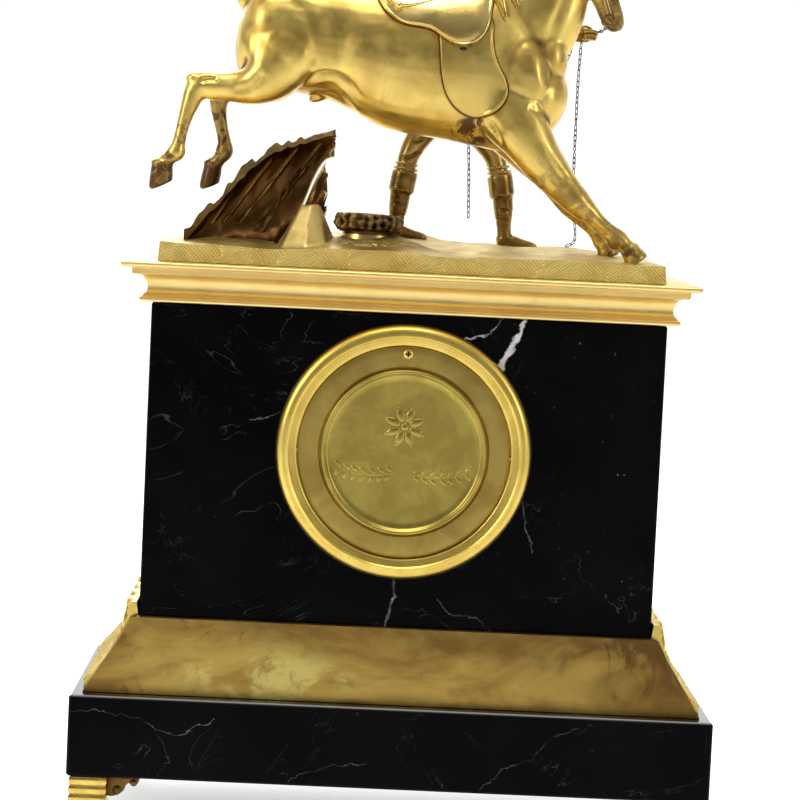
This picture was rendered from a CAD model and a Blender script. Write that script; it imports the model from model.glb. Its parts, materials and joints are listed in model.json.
"""Looks of the gilt bronze and black marble mantel clock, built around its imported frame.

Everything is in the frame's own place: metres, +Z up, dial towards -Y, rear cover towards +Y.
Tables of places and sizes are in millimetres.
"""

import json
import math

import bmesh
import bpy
import numpy as np
from mathutils import Matrix, Vector
from mathutils.bvhtree import BVHTree
from mathutils import noise as wander


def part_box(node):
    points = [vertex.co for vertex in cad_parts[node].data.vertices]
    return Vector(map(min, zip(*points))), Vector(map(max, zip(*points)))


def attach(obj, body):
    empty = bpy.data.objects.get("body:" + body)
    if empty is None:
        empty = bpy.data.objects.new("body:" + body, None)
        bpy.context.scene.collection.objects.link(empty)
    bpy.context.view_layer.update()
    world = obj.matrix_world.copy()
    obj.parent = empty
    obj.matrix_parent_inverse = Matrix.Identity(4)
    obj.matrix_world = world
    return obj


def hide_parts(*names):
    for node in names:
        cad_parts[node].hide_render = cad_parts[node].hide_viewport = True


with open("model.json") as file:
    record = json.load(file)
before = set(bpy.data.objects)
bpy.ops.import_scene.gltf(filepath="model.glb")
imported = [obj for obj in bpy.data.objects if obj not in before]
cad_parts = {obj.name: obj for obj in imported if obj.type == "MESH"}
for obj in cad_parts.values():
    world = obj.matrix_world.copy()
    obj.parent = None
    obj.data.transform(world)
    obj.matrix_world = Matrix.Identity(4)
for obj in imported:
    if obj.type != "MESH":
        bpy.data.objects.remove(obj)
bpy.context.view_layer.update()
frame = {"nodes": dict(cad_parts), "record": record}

MM = 0.001
TURN = 2 * math.pi
HORSE_Y = 24
CASE_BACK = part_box("case_back")[1].y / MM
CASE_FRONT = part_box("case_front")[0].y / MM
CASE_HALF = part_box("case_back")[1].x / MM
CASE_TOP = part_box("case_back")[1].z / MM
CORNICE_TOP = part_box("cornice")[1].z / MM
LAND_LOW, LAND_HIGH = (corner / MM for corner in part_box("terrain"))
RING_LOW, RING_HIGH = (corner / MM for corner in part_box("rear_ring"))
DIAL_Z = (RING_LOW.z + RING_HIGH.z) / 2


# ---- finishes ------------------------------------------------------------------------------
class Wire:
    """A value on its way through a finish.  Sums on it add Math nodes."""

    def __init__(self, socket):
        self.socket = socket

    def node(self, kind, settings=None, inputs=None, out=0):
        """Adds a node to the finish: its settings first, then its sockets' values or links."""
        tree = self.socket.id_data
        made = tree.nodes.new("ShaderNode" + kind)
        for name, value in (settings or {}).items():
            setattr(made, name, value)
        for key, value in (inputs or {}).items():
            socket = made.inputs[key]
            if isinstance(value, Wire):
                tree.links.new(value.socket, socket)
            elif socket.type == "RGBA" and len(value) == 3:
                socket.default_value = (*value, 1)
            else:
                socket.default_value = value
        return Wire(made.outputs[out])

    def maths(self, operation, *values):
        return self.node("Math", {"operation": operation}, dict(enumerate(values)))

    def __add__(self, other):
        return self.maths("ADD", self, other)

    def __sub__(self, other):
        return self.maths("SUBTRACT", self, other)

    def __rsub__(self, other):
        return self.maths("SUBTRACT", other, self)

    def __mul__(self, other):
        return self.maths("MULTIPLY", self, other)

    def __truediv__(self, other):
        return self.maths("DIVIDE", self, other)

    def __pow__(self, other):
        return self.maths("POWER", self, other)

    def __abs__(self):
        return self.maths("ABSOLUTE", self)

    def sine(self):
        return self.maths("SINE", self)

    def clamp(self):
        return self.node("Clamp", {}, {"Value": self})

    __radd__ = __add__
    __rmul__ = __mul__


def cloud(place, scale, detail=3.0, roughness=0.5, stretch=None, twist=0.0):
    """Soft noise between 0 and 1, its scale in features per millimetre."""
    if stretch:
        place = place.node("Mapping", {}, {"Vector": place, "Scale": stretch})
    return place.node("TexNoise", {}, {"Vector": place, "Scale": scale, "Detail": detail,
                                       "Roughness": roughness, "Distortion": twist})


def span(value, low, high, to_low=0.0, to_high=1.0):
    """A smooth step of a value from one range to another."""
    return value.node("MapRange", {"interpolation_type": "SMOOTHSTEP"},
                      {"Value": value, "From Min": low, "From Max": high, "To Min": to_low,
                       "To Max": to_high})


def tint(share, first, second):
    """A colour between two, by a share."""
    return share.node("Mix", {"data_type": "RGBA"}, {0: share, 6: first, 7: second}, out=2)


def relief(height, strength=1.0):
    """A bump whose height is in millimetres."""
    return height.node("Bump", {}, {"Height": height, "Distance": MM, "Strength": strength})


def mark(place, name):
    """A value kept on the points of a mesh, 0 where the mesh has none."""
    return place.node("Attribute", {"attribute_name": name}, out=2)


def finish(name, fixed, varying):
    """One finish.  varying(place) gives what changes over the surface, place being in mm."""
    mat = bpy.data.materials.new(name)
    mat.use_nodes = True
    tree = mat.node_tree
    shader = tree.nodes["Principled BSDF"]
    for socket, value in fixed.items():
        shader.inputs[socket].default_value = value
    start = tree.nodes.new("ShaderNodeTexCoord")
    place = Wire(start.outputs["Object"])
    place = place.node("VectorMath", {"operation": "SCALE"}, {0: place, "Scale": 1 / MM})
    for socket, wire in varying(place).items():
        tree.links.new(wire.socket, shader.inputs[socket])
    return mat


def gilding(name, light, deep, stain, shine, worn=0.5, dirt=1.0, grain=0.02, extra=None, soil=None,
            rubbed=0.0, coat=0.0):
    """Fire-gilt bronze: two golds in clouds, brown stains, and dark left in the hollows."""
    def varying(place):
        tone = cloud(place, 0.045, 4, 0.55, twist=0.4)
        fine = cloud(place, 0.5, 5, 0.6)
        spots = span(cloud(place, 0.09, 6, 0.65, twist=0.7), 0.66 - 0.06 * worn, 0.74)
        hollow = span(mark(place, "hollow") * dirt, 0.05, 0.75)
        soiled = spots * (0.5 * worn) + hollow
        if soil:
            soiled = soiled + soil(place)
        soiled = soiled.clamp()
        gold = tint(span(tone, 0.35, 0.68), light, deep)
        colour = tint(soiled, gold, stain)
        if rubbed:
            proud = span(mark(place, "hollow") * -1, 0.04, 0.3)
            colour = tint(proud * rubbed, colour, PALE_GOLD)
        rough = span(cloud(place, 0.12, 3), 0.3, 0.7, *shine) + soiled * 0.22 + fine * 0.05
        height = fine * grain + cloud(place, 0.11, 2) * (grain * 5)
        if extra:
            height = height + extra(place)
        return {"Base Color": colour, "Roughness": rough, "Normal": relief(height)}
    return finish(name, {"Metallic": 1.0, "Coat Weight": coat, "Coat Roughness": 0.12}, varying)


GOLD, PALE_GOLD, WARM_GOLD = (0.78, 0.57, 0.145), (0.92, 0.69, 0.26), (0.58, 0.38, 0.085)
BROWN = (0.12, 0.055, 0.015)


def split(place):
    """The three coordinates of a place."""
    return [place.node("SeparateXYZ", {}, {0: place}, out=k) for k in range(3)]


def chasing(place):
    """Short strokes that lean one way and then the other, as a chaser leaves them on an edge."""
    x, y, z = split(place)
    run_mm = x + y
    turn_at = run_mm * 0.19 + cloud(place, 0.03, 1) * 6
    group = span(turn_at.sine(), -0.12, 0.12)
    waver = cloud(place, 0.35, 2) * 2.6
    leaning = [(run_mm + z * lean) * 3.1 + waver for lean in (1.3, -1.0)]
    strokes = [span(way.sine(), 0.0, 0.95) for way in leaning]
    return strokes[0] * group + strokes[1] * (1 - group)


def chased_depth(place):
    return chasing(place) * -1.7 + cloud(place, 0.2, 3) * 0.6


def chased_dark(place):
    return chasing(place) * 0.3


def handled(place):
    """Brown left on the hooves and blotches of it up the lower legs."""
    x, y, z = split(place)
    blotch = span(cloud(place, 0.12, 5, 0.65, twist=0.8), 0.46, 0.6)
    hind = span(x, 90, 96)
    fore = span(x, -80, -92)
    hooves = hind * span(z, 346, 336) + fore * span(z, 315, 305) * 0.6
    legs = hind * span(z, 380, 350) + span(x, -50, -62) * span(z, 372, 330) * 0.55
    muzzle = span(x, -84, -94) * span(z, 412, 420)
    belly = span(abs(x + 28) + abs(z - 366) * 1.5, 22, 8)
    far = span(y, 22, 12) * span(z, 386, 372) * hind * (blotch * 0.3 + 0.6)
    return (hooves * (blotch * 0.3 + 0.72) + legs * (blotch * 0.85 + 0.08) + far
            + muzzle * (blotch * 0.25 + 0.65) + belly * blotch * 1.3)


def grimy(place):
    """Dirt in soft clouds."""
    return span(cloud(place, 0.16, 4, 0.6), 0.36, 0.64) * 0.75


def grass(place):
    """Curling blades of grass on the mound under the stump."""
    x, y, _ = split(place)
    off_x, off_y = (x - 20) / 26, (y - 40) / 20
    near = span(off_x * off_x + off_y * off_y, 0.55, 1.05, 1.0, 0.0)
    curl = cloud(place, 0.1, 2, twist=2.6) * 24
    return near * span(curl.sine(), -0.2, 0.9)


def tufts(place):
    return grass(place) * 2.2 + cloud(place, 0.13, 4) * 0.5


def between_tufts(place):
    """Dark between the blades, and a little of it in clouds elsewhere."""
    x, y, _ = split(place)
    mound = span(abs(x - 20) + abs(y - 44), 24, 40, 0.5, 0.0)
    return mound * (1 - grass(place)) + span(cloud(place, 0.05, 4), 0.5, 0.7) * 0.25


def marbling(name, veins=(), seed=0.0, polished_above=None):
    """Polished black marble.  A vein is (stops as (x, z) in mm, half width, strength).

    polished_above is the height in mm of a top edge that catches the light.
    """
    def varying(place):
        moved = place.node("VectorMath", {"operation": "ADD"}, {0: place, 1: (seed, seed * 0.7, -seed)})
        warm = span(cloud(moved, 0.02, 3) * 1.04, 0.3, 0.75)
        wide = cloud(moved, 0.0085, 5, 0.62, twist=1.1)
        thread = cloud(moved, 0.024, 6, 0.6, twist=0.8)
        threads = span(abs(thread - 0.5), 0.0012, 0.006, 1.0, 0.0)
        threads = threads * span(cloud(moved, 0.035, 2), 0.5, 0.72)
        seams = span(abs(wide - 0.47), 0.0006, 0.0028, 1.0, 0.0)
        seams = seams * span(cloud(moved, 0.05, 4), 0.46, 0.7)
        specks = span(cloud(moved, 0.42, 3, 0.4), 0.72, 0.79) * span(cloud(moved, 0.02, 2), 0.45, 0.7)
        white = threads * 0.02 + seams * 0.05 + specks * 0.2
        x, _, z = split(place)
        lip = span(z, polished_above - 0.9, polished_above - 0.3) if polished_above else None
        x = x + (cloud(place, 0.13, 3, 0.6) - 0.5) * 7
        z = z + (cloud(moved, 0.17, 3, 0.6) - 0.5) * 6
        fray = cloud(place, 0.3, 5, 0.65)
        patchy = span(cloud(place, 0.07, 3), 0.38, 0.62, 0.25, 1.3)
        for stops, half, strength in veins:
            for (ax, az), (bx, bz) in zip(stops, stops[1:]):
                run_x, run_z = bx - ax, bz - az
                length = run_x * run_x + run_z * run_z
                share = ((x - ax) * (run_x / length) + (z - az) * (run_z / length)).clamp()
                gap_x = x - ax - share * run_x
                gap_z = z - az - share * run_z
                away = (gap_x * gap_x + gap_z * gap_z) ** 0.5 + (fray - 0.5) * (half * 1.6)
                white = white + span(away, half * 0.35, half, strength, 0.0) * (patchy if half < 1 else 1.0)
        white = white.clamp()
        ground_colour = tint(warm, (0.0010, 0.0011, 0.0016), (0.0030, 0.0028, 0.0030))
        rough = span(cloud(moved, 0.03, 4), 0.35, 0.65, 0.07, 0.13) + white * 0.12
        given = {"Base Color": tint(white, ground_colour, (0.62, 0.62, 0.60)), "Roughness": rough,
                 "Normal": relief(cloud(moved, 0.015, 2) * 0.10 + white * 0.01)}
        return {**given, "Coat Weight": lip} if lip else given
    return finish(name, {"Specular IOR Level": 0.03, "Coat Roughness": 0.05}, varying)


def patinated(name):
    """A brass sheet that has browned in clouds, with the marks of its rolling."""
    def varying(place):
        drift = cloud(place, 0.014, 5, 0.6, stretch=(1, 1, 2.1), twist=1.0)
        haze = cloud(place, 0.05, 5, 0.62, stretch=(1, 1, 1.6), twist=0.6)
        rolled = cloud(place, 0.8, 3, 0.5, stretch=(0.05, 1, 1))
        x, _, z = split(place)
        body = tint(span(drift, 0.36, 0.64), (0.46, 0.31, 0.075), (0.25, 0.145, 0.035))
        glow = span(abs(x - 62) + abs(z - 82) * 3, 20, 85, 1.0, 0.0)
        body = tint(glow * span(haze, 0.4, 0.6), body, (0.60, 0.50, 0.15))
        dark = span(cloud(place, 0.04, 6, 0.7, twist=1.2), 0.55, 0.72)
        edges = span(z + haze * 16, 96, 116) * 0.9 + span(x * -1, 40, 150) * 0.8
        soiled = dark * 0.6 + edges * haze
        body = tint(soiled.clamp(), body, (0.13, 0.068, 0.02))
        rough = span(haze, 0.3, 0.7, 0.34, 0.5) + rolled * 0.06
        return {"Base Color": body, "Roughness": rough,
                "Normal": relief(rolled * 0.02 + cloud(place, 0.03, 3) * 0.5)}
    return finish(name, {"Metallic": 1.0}, varying)


LATHE_LINES = 0.012


def spun_metal(name, light, deep, shine):
    """Metal turned on a lathe: fine circles about the axis of the dial."""
    def varying(place):
        x, _, z = split(place)
        z = z - DIAL_Z
        radius = (x * x + z * z) ** 0.5
        wobble = radius * 3.1 + cloud(place, 0.05, 2) * 1.4
        circles = wobble.node("TexNoise", {"noise_dimensions": "1D"},
                              {"W": wobble, "Scale": 1.7, "Detail": 4.0})
        tone = span(cloud(place, 0.05, 5, 0.6, twist=0.8), 0.35, 0.65)
        flecks = span(cloud(place, 0.6, 3), 0.62, 0.78) * span(cloud(place, 0.06, 2), 0.45, 0.6)
        hollow = span(mark(place, "hollow"), 0.03, 0.4)
        soiled = (flecks * 0.4 + hollow * 0.8).clamp()
        colour = tint(soiled, tint(tone, light, deep), BROWN)
        rough = span(circles, 0.3, 0.7, *shine) + soiled * 0.15
        return {"Base Color": colour, "Roughness": rough,
                "Normal": relief(circles * LATHE_LINES + cloud(place, 0.25, 3) * LATHE_LINES * 3)}
    return finish(name, {"Metallic": 1.0}, varying)


def plain_metal(name, light, deep, shine, scale=0.15):
    """Plain metal with a slight unevenness in tone and polish."""
    def varying(place):
        tone = span(cloud(place, scale, 5, 0.6), 0.35, 0.65)
        fine = cloud(place, 1.2, 3)
        return {"Base Color": tint(tone, light, deep),
                "Roughness": span(tone, 0.2, 0.8, *shine) + fine * 0.05, "Normal": relief(fine * 0.01)}
    return finish(name, {"Metallic": 1.0}, varying)


# veins of the back slab and the base, as stops (x, z) in mm, half width and strength
BACK_VEINS = (([(-59, 273), (-55.6, 262), (-51.2, 253), (-46.6, 243)], 1.9, 0.95),
              ([(-48.6, 273), (-45, 266), (-38, 262), (-26.6, 259)], 0.55, 0.5),
              ([(79.3, 213.5), (71, 215), (64, 218.5)], 0.5, 0.16),
              ([(1.6, 137), (2.2, 124), (5.2, 110)], 0.9, 0.28),
              ([(-69, 152), (-64, 168), (-62, 180)], 0.5, 0.09),
              ([(-52, 109), (-40, 116), (-28, 118), (-20, 126)], 0.4, 0.08))
BASE_VEINS = (([(163, 62), (150, 63), (141, 61), (128, 60), (120, 54), (108, 52), (98, 57), (90, 60)],
               0.32, 0.10),
              ([(118, 30), (112, 38), (119, 52)], 0.25, 0.05),
              ([(52, 30), (40, 36), (28, 39), (12, 41)], 0.3, 0.10),
              ([(-46, 30), (-60, 42), (-72, 47), (-84, 60), (-96, 64)], 0.3, 0.06))


def make_finishes():
    """Every finish by its key."""
    def enamel(place):
        spread = cloud(place, 0.09, 3, stretch=(0.4, 1, 0.4))
        return {"Base Color": tint(span(spread, 0.3, 0.7), (0.80, 0.79, 0.75), (0.78, 0.765, 0.72)),
                "Roughness": span(cloud(place, 0.3, 2), 0.3, 0.7, 0.08, 0.14)}

    def clear(place):
        return {"Roughness": span(cloud(place, 0.05, 2), 0.3, 0.7, 0.01, 0.03)}

    def ink(place):
        return {"Base Color": tint(cloud(place, 0.4, 3), (0.012, 0.012, 0.013), (0.03, 0.028, 0.028)),
                "Roughness": span(cloud(place, 0.6, 2), 0.3, 0.7, 0.5, 0.6)}

    made = {
        "marble": marbling("black_marble", seed=31.0),
        "marble_back": marbling("black_marble_back_slab", BACK_VEINS, 7.0),
        "marble_base": marbling("black_marble_base", BASE_VEINS, 57.0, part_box("base_slab")[1].z / MM),
        "patina": patinated("clouded_patina"),
        "enamel": finish("white_enamel", {"Coat Weight": 0.2, "Coat Roughness": 0.03}, enamel),
        "ink": finish("fired_black", {"Specular IOR Level": 0.15}, ink),
        "glass": finish("door_glass", {"Base Color": (1, 1, 1, 1), "Alpha": 0.05}, clear),
    }
    for key, name, light, deep, stain, shine, more in (
            ("gilt", "burnished_gilding", GOLD, WARM_GOLD, BROWN, (0.17, 0.29), {}),
            ("horse_gilt", "horse_gilding", GOLD, WARM_GOLD, BROWN, (0.27, 0.4),
             {"worn": 0.6, "dirt": 1.2, "soil": handled, "coat": 0.3}),
            ("gilt_pale", "pale_polished_gilding", PALE_GOLD, (0.86, 0.63, 0.23), (0.34, 0.18, 0.05),
             (0.36, 0.46), {"worn": 0.55, "coat": 0.25}),
            ("gilt_matt", "matt_gilding", (0.74, 0.52, 0.17), (0.62, 0.40, 0.10), BROWN, (0.32, 0.46), {}),
            ("gilt_chased", "chased_edge_gilding", (1.0, 0.80, 0.28), (0.93, 0.68, 0.20), BROWN,
             (0.30, 0.42), {"worn": 0.4, "extra": chased_depth, "soil": chased_dark}),
            ("gilt_ground", "cast_ground_gilding", (0.66, 0.50, 0.18), (0.48, 0.34, 0.10), BROWN,
             (0.42, 0.54), {"worn": 0.6, "extra": tufts, "soil": between_tufts}),
            ("gilt_dark", "darkened_gilding", (0.33, 0.21, 0.05), (0.18, 0.10, 0.024),
             (0.04, 0.018, 0.006), (0.22, 0.36), {"worn": 1.0, "dirt": 1.6, "rubbed": 0.35}),
            ("saddle_gilt", "saddle_gilding", (0.84, 0.63, 0.22), (0.76, 0.52, 0.14), BROWN,
             (0.2, 0.28), {"worn": 0.1, "dirt": 0.25, "coat": 0.3}),
            ("flap_gilt", "matt_flap_gilding", (0.70, 0.51, 0.14), (0.60, 0.41, 0.10), BROWN,
             (0.26, 0.36), {"worn": 0.3}),
            ("scroll_brown", "browned_scrolls", (0.20, 0.11, 0.03), (0.10, 0.05, 0.014),
             (0.03, 0.013, 0.005), (0.3, 0.44), {"worn": 0.8}),
            ("bark", "browned_bark", (0.20, 0.11, 0.03), (0.10, 0.05, 0.013), (0.02, 0.009, 0.004),
             (0.3, 0.46), {"worn": 1.1, "dirt": 1.6, "grain": 0.05, "soil": grimy, "rubbed": 0.12}),
            ("hollow_wood", "browned_hollow", (0.13, 0.062, 0.017), (0.065, 0.028, 0.008),
             (0.02, 0.009, 0.004), (0.24, 0.38), {"worn": 1.0, "dirt": 0.8, "rubbed": 0.5})):
        made[key] = gilding(name, light, deep, stain, shine, **more)
    for key, name, light, deep, shine in (
            ("ring_gilt", "turned_gilding", (0.78, 0.58, 0.14), (0.68, 0.48, 0.10), (0.29, 0.37)),
            ("cover_gilt", "satin_gilding", (0.46, 0.33, 0.085), (0.36, 0.245, 0.06), (0.34, 0.42)),
            ("field_gilt", "medallion_gilding", (0.46, 0.36, 0.08), (0.36, 0.265, 0.06), (0.3, 0.4))):
        made[key] = spun_metal(name, light, deep, shine)
    for key, name, light, deep, shine in (
            ("brass", "movement_brass", (0.80, 0.62, 0.28), (0.72, 0.53, 0.22), (0.2, 0.3)),
            ("steel", "movement_steel", (0.42, 0.42, 0.43), (0.30, 0.31, 0.33), (0.22, 0.34)),
            ("blued_steel", "blued_steel", (0.012, 0.02, 0.10), (0.008, 0.012, 0.055), (0.3, 0.4))):
        made[key] = plain_metal(name, light, deep, shine)
    made["dark_bronze"] = plain_metal("dark_bronze", (0.20, 0.12, 0.05), (0.10, 0.055, 0.025), (0.3, 0.42), 0.5)
    return made


FINISH = make_finishes()


# ---- making pieces -------------------------------------------------------------------------
def piece(name, bm, finishes, smooth=None, outward=True):
    """An object from a bmesh, merged and turned outwards, with its finishes in slot order."""
    if outward:
        bmesh.ops.remove_doubles(bm, verts=bm.verts, dist=0.000001)
        bmesh.ops.recalc_face_normals(bm, faces=bm.faces)
    mesh = bpy.data.meshes.new(name)
    bm.to_mesh(mesh)
    bm.free()
    for key in ([finishes] if isinstance(finishes, str) else finishes):
        mesh.materials.append(FINISH[key])
    if smooth:
        mesh.shade_smooth()
        mesh.set_sharp_from_angle(angle=math.radians(smooth))
    obj = bpy.data.objects.new(name, mesh)
    bpy.context.scene.collection.objects.link(obj)
    return obj


def put(at, *turns):
    """The matrix that sets a shape made in millimetres down at a place."""
    matrix = Matrix.Scale(MM, 4) @ Matrix.Translation(Vector(at))
    for turn in turns:
        matrix = matrix @ turn
    return matrix


def rotated(degrees, axis):
    return Matrix.Rotation(math.radians(degrees), 4, axis)


def edges_of(verts):
    return list({edge for vert in verts for edge in vert.link_edges})


def baked(obj):
    """The same piece with its modifiers worked into its mesh."""
    graph = bpy.context.evaluated_depsgraph_get()
    mesh = bpy.data.meshes.new_from_object(obj.evaluated_get(graph))
    old = obj.data
    obj.modifiers.clear()
    obj.data = mesh
    bpy.data.meshes.remove(old)
    return obj


def stations(stops, per_span=4):
    """Places on a smooth curve through the stops, which may carry widths as well."""
    pts = [np.array(s, float) for s in (stops[0], *stops, stops[-1])]
    route = []
    for a, b, c, d in zip(pts, pts[1:], pts[2:], pts[3:]):
        for k in range(per_span):
            t = k / per_span
            route.append(0.5 * (2 * b + (c - a) * t + (2 * a - 5 * b + 4 * c - d) * t ** 2
                                + (3 * b - a - 3 * c + d) * t ** 3))
    return route + [pts[-1]]


def sleeve(bm, stops, sides=20, upright=False, per_span=4, hint=(0, 1, 0)):
    """Skins ovals set along a smooth bent line and closes both ends.

    A stop is x, y, z, half depth across the line and half width towards the hint, in mm.
    """
    route = stations(stops, per_span)
    hoops = []
    for k, stop in enumerate(route):
        line = Vector(route[min(k + 1, len(route) - 1)][:3] - route[max(k - 1, 0)][:3])
        line = Vector((1, 0, 0)) if upright else line.normalized()
        hint = Vector(hint)
        wide = (hint - line * line.dot(hint)).normalized()
        deep = line.cross(wide)
        axes = Matrix((deep * max(stop[3], 0.05), wide * max(stop[4], 0.05), line)).transposed().to_4x4()
        made = bmesh.ops.create_circle(bm, cap_ends=k in (0, len(route) - 1), segments=sides, radius=1,
                                       matrix=put(stop[:3], axes))
        hoops.append(edges_of(made["verts"]))
    for lower, upper in zip(hoops, hoops[1:]):
        bmesh.ops.bridge_loops(bm, edges=lower + upper)


def ball(bm, at, size, turn=None, rounds=3):
    """An ellipsoid of three half sizes in mm."""
    matrix = put(at, turn or Matrix.Identity(4), Matrix.Diagonal((*size, 1)))
    bmesh.ops.create_icosphere(bm, subdivisions=rounds, radius=1, matrix=matrix)


def block(bm, low, high):
    """A rectangular block between two corners in mm."""
    low, high = Vector(low), Vector(high)
    matrix = put((low + high) / 2, Matrix.Diagonal((*(high - low), 1)))
    return bmesh.ops.create_cube(bm, size=1, matrix=matrix)["verts"]


def rounded(bm, edges, by):
    """Rounds edges off, by a width in mm."""
    bmesh.ops.bevel(bm, geom=edges, offset=by * MM, offset_type="OFFSET", affect="EDGES", segments=3,
                    profile=0.5, material=-1, clamp_overlap=True)


def rim_of(bm):
    return [edge for edge in bm.edges if edge.is_boundary]


def mapped(bm, across, deep, at, caps=False):
    """A grid whose points go where at(u, v) says, in mm, with u and v from 0 to 1."""
    made = bmesh.ops.create_grid(bm, x_segments=across, y_segments=deep, size=1)["verts"]
    for vert in made:
        vert.co = Vector(at((vert.co.x + 1) / 2, (vert.co.y + 1) / 2)) * MM
    bmesh.ops.remove_doubles(bm, verts=made, dist=0.000001)
    if caps:
        bmesh.ops.holes_fill(bm, edges=rim_of(bm), sides=0)


def turned(name, profile, finishes, centre=(0, 0, DIAL_Z), steps=144, axis="Y", smooth=32):
    """A piece turned on a lathe from (radius, distance along the axis) in mm; a profile that
    starts off the axis is a ring and is closed on itself."""
    bm = bmesh.new()
    along = Vector((0, 1, 0)) if axis == "Y" else Vector((0, 0, 1))
    out = Vector((1, 0, 0))
    centre = Vector(centre) * MM
    verts = [bm.verts.new(centre + (out * r + along * h) * MM) for r, h in profile]
    pairs = list(zip(verts, verts[1:]))
    if profile[0][0] > 0.01:
        pairs.append((verts[-1], verts[0]))
    edges = [bm.edges.new(pair) for pair in pairs]
    bmesh.ops.spin(bm, geom=verts + edges, cent=centre, axis=along, angle=TURN, steps=steps, use_merge=True)
    return piece(name, bm, finishes, smooth)


def bow(cx, cy, radius, start, end, count):
    """Points on an arc, angles in degrees."""
    return [(cx + radius * math.cos(math.radians(start + (end - start) * k / count)),
             cy + radius * math.sin(math.radians(start + (end - start) * k / count))) for k in range(count + 1)]


def edge_ends(mesh):
    ends = np.empty(len(mesh.edges) * 2, np.int32)
    mesh.edges.foreach_get("vertices", ends)
    return ends.reshape(-1, 2)


def vectors(items, what):
    """One vector for each item of a mesh, as rows of an array."""
    values = np.empty(len(items) * 3, np.float32)
    items.foreach_get(what, values)
    return values.reshape(-1, 3).astype(float)


def around(values, ends, count):
    """The mean of each point's neighbours."""
    total = np.zeros_like(values)
    for axis in range(values.shape[1]):
        total[:, axis] = (np.bincount(ends[:, 0], values[ends[:, 1], axis], count)
                          + np.bincount(ends[:, 1], values[ends[:, 0], axis], count))
    shares = np.bincount(ends.ravel(), minlength=count)
    return total / np.maximum(shares, 1)[:, None]


class Clay:
    """The skin of a casting, worked in millimetres along its own normals."""

    def __init__(self, obj):
        self.mesh = obj.data
        self.count = len(self.mesh.vertices)
        self.place = vectors(self.mesh.vertices, "co") / MM
        self.look()

    def look(self):
        """Takes the normals afresh."""
        self.mesh.vertices.foreach_set("co", (self.place * MM).astype(np.float32).ravel())
        self.mesh.update()
        self.out = vectors(self.mesh.vertex_normals, "vector")

    def press(self, share, by):
        self.place += self.out * (share * by)[:, None]

    def swell(self, at, reach, by, along=None):
        """A soft lump, or a dent when by is negative; along is a (x, y, z) push instead."""
        away = (self.place - np.array(at, float)) / np.array(reach, float)
        share = np.exp(-(away ** 2).sum(1))
        if along is None:
            self.press(share, by)
        else:
            self.place += share[:, None] * by * np.array(along, float)

    def line(self, stops, wide, by, side=0, fade=True):
        """A groove, or a ridge when by is positive.  With a side of 1 or -1 the line is drawn
        on that flank of the horse and its Y is left out."""
        route = np.array([s[:3] for s in stations(stops, 6)])
        flat = np.array([1, 0 if side else 1, 1])
        best = np.full(self.count, 1e9)
        share_at = np.zeros(self.count)
        for k, (a, b) in enumerate(zip(route, route[1:])):
            run_ab = (b - a) * flat
            to = (self.place - a) * flat
            t = np.clip((to @ run_ab) / max(run_ab @ run_ab, 1e-9), 0, 1)
            gap = ((to - t[:, None] * run_ab) ** 2).sum(1)
            closer = gap < best
            best[closer] = gap[closer]
            share_at[closer] = (k + t[closer]) / (len(route) - 1)
        share = np.exp(-best / wide ** 2)
        if fade:
            share *= np.clip(np.sin(share_at * math.pi) * 2.2, 0, 1)
        if side:
            share *= np.clip((self.place[:, 1] - HORSE_Y) * side / 5, 0, 1)
        self.press(share, by)

    def settle(self, rounds=0):
        ends = edge_ends(self.mesh)
        for _ in range(rounds):
            self.place += 0.5 * (around(self.place, ends, self.count) - self.place)
        self.look()


def mark_hollows(obj, rounds=14):
    """Keeps how deep each point lies below its surroundings, in mm, for dark in the hollows."""
    mesh = obj.data
    count = len(mesh.vertices)
    place = vectors(mesh.vertices, "co") / MM
    out = vectors(mesh.vertex_normals, "vector")
    ends = edge_ends(mesh)
    soft = place
    for _ in range(rounds):
        soft = around(soft, ends, count)
    depth = ((soft - place) * out).sum(1, keepdims=True)
    for _ in range(2):
        depth = around(depth, ends, count)
    kept = mesh.attributes.new("hollow", "FLOAT", "POINT")
    kept.data.foreach_set("value", depth[:, 0].astype(np.float32))
    return obj


def fused(name, bm, cell, finishes, passes=4):
    """One closed skin over overlapping lumps, its cells in mm."""
    obj = piece(name, bm, finishes)
    skin = obj.modifiers.new("skin", "REMESH")
    skin.mode = "VOXEL"
    skin.voxel_size = cell * MM
    soften = obj.modifiers.new("soften", "SMOOTH")
    soften.factor = 0.5
    soften.iterations = passes
    baked(obj)
    obj.data.shade_smooth()
    return obj


def settle(obj, body="case", replaced=None):
    """Lets a finished piece ride its body, in the place of a CAD node."""
    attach(obj, body)
    if replaced:
        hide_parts(replaced)
    return obj


def finished(name, bm, finishes, smooth, hollows, body="case", replaced=None):
    """A piece with its hollows marked, settled on its body."""
    return settle(mark_hollows(piece(name, bm, finishes, smooth), hollows), body, replaced)


# ---- case ----------------------------------------------------------------------------------
def oblong(bm, half_x, front, back, z, middle_x=0):
    """A level rectangle, as the edges of a loop."""
    matrix = put((middle_x, (front + back) / 2, z), Matrix.Diagonal((half_x, (back - front) / 2, 1, 1)),
                 rotated(45, "Z"))
    made = bmesh.ops.create_circle(bm, segments=4, radius=math.sqrt(2), matrix=matrix)
    return edges_of(made["verts"])


def stacked(bm, hoops):
    """Skins a pile of loops and closes its top and bottom."""
    for lower, upper in zip(hoops, hoops[1:]):
        bmesh.ops.bridge_loops(bm, edges=lower + upper)
    bmesh.ops.edgeloop_fill(bm, edges=hoops[0])
    bmesh.ops.edgeloop_fill(bm, edges=hoops[-1])


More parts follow.
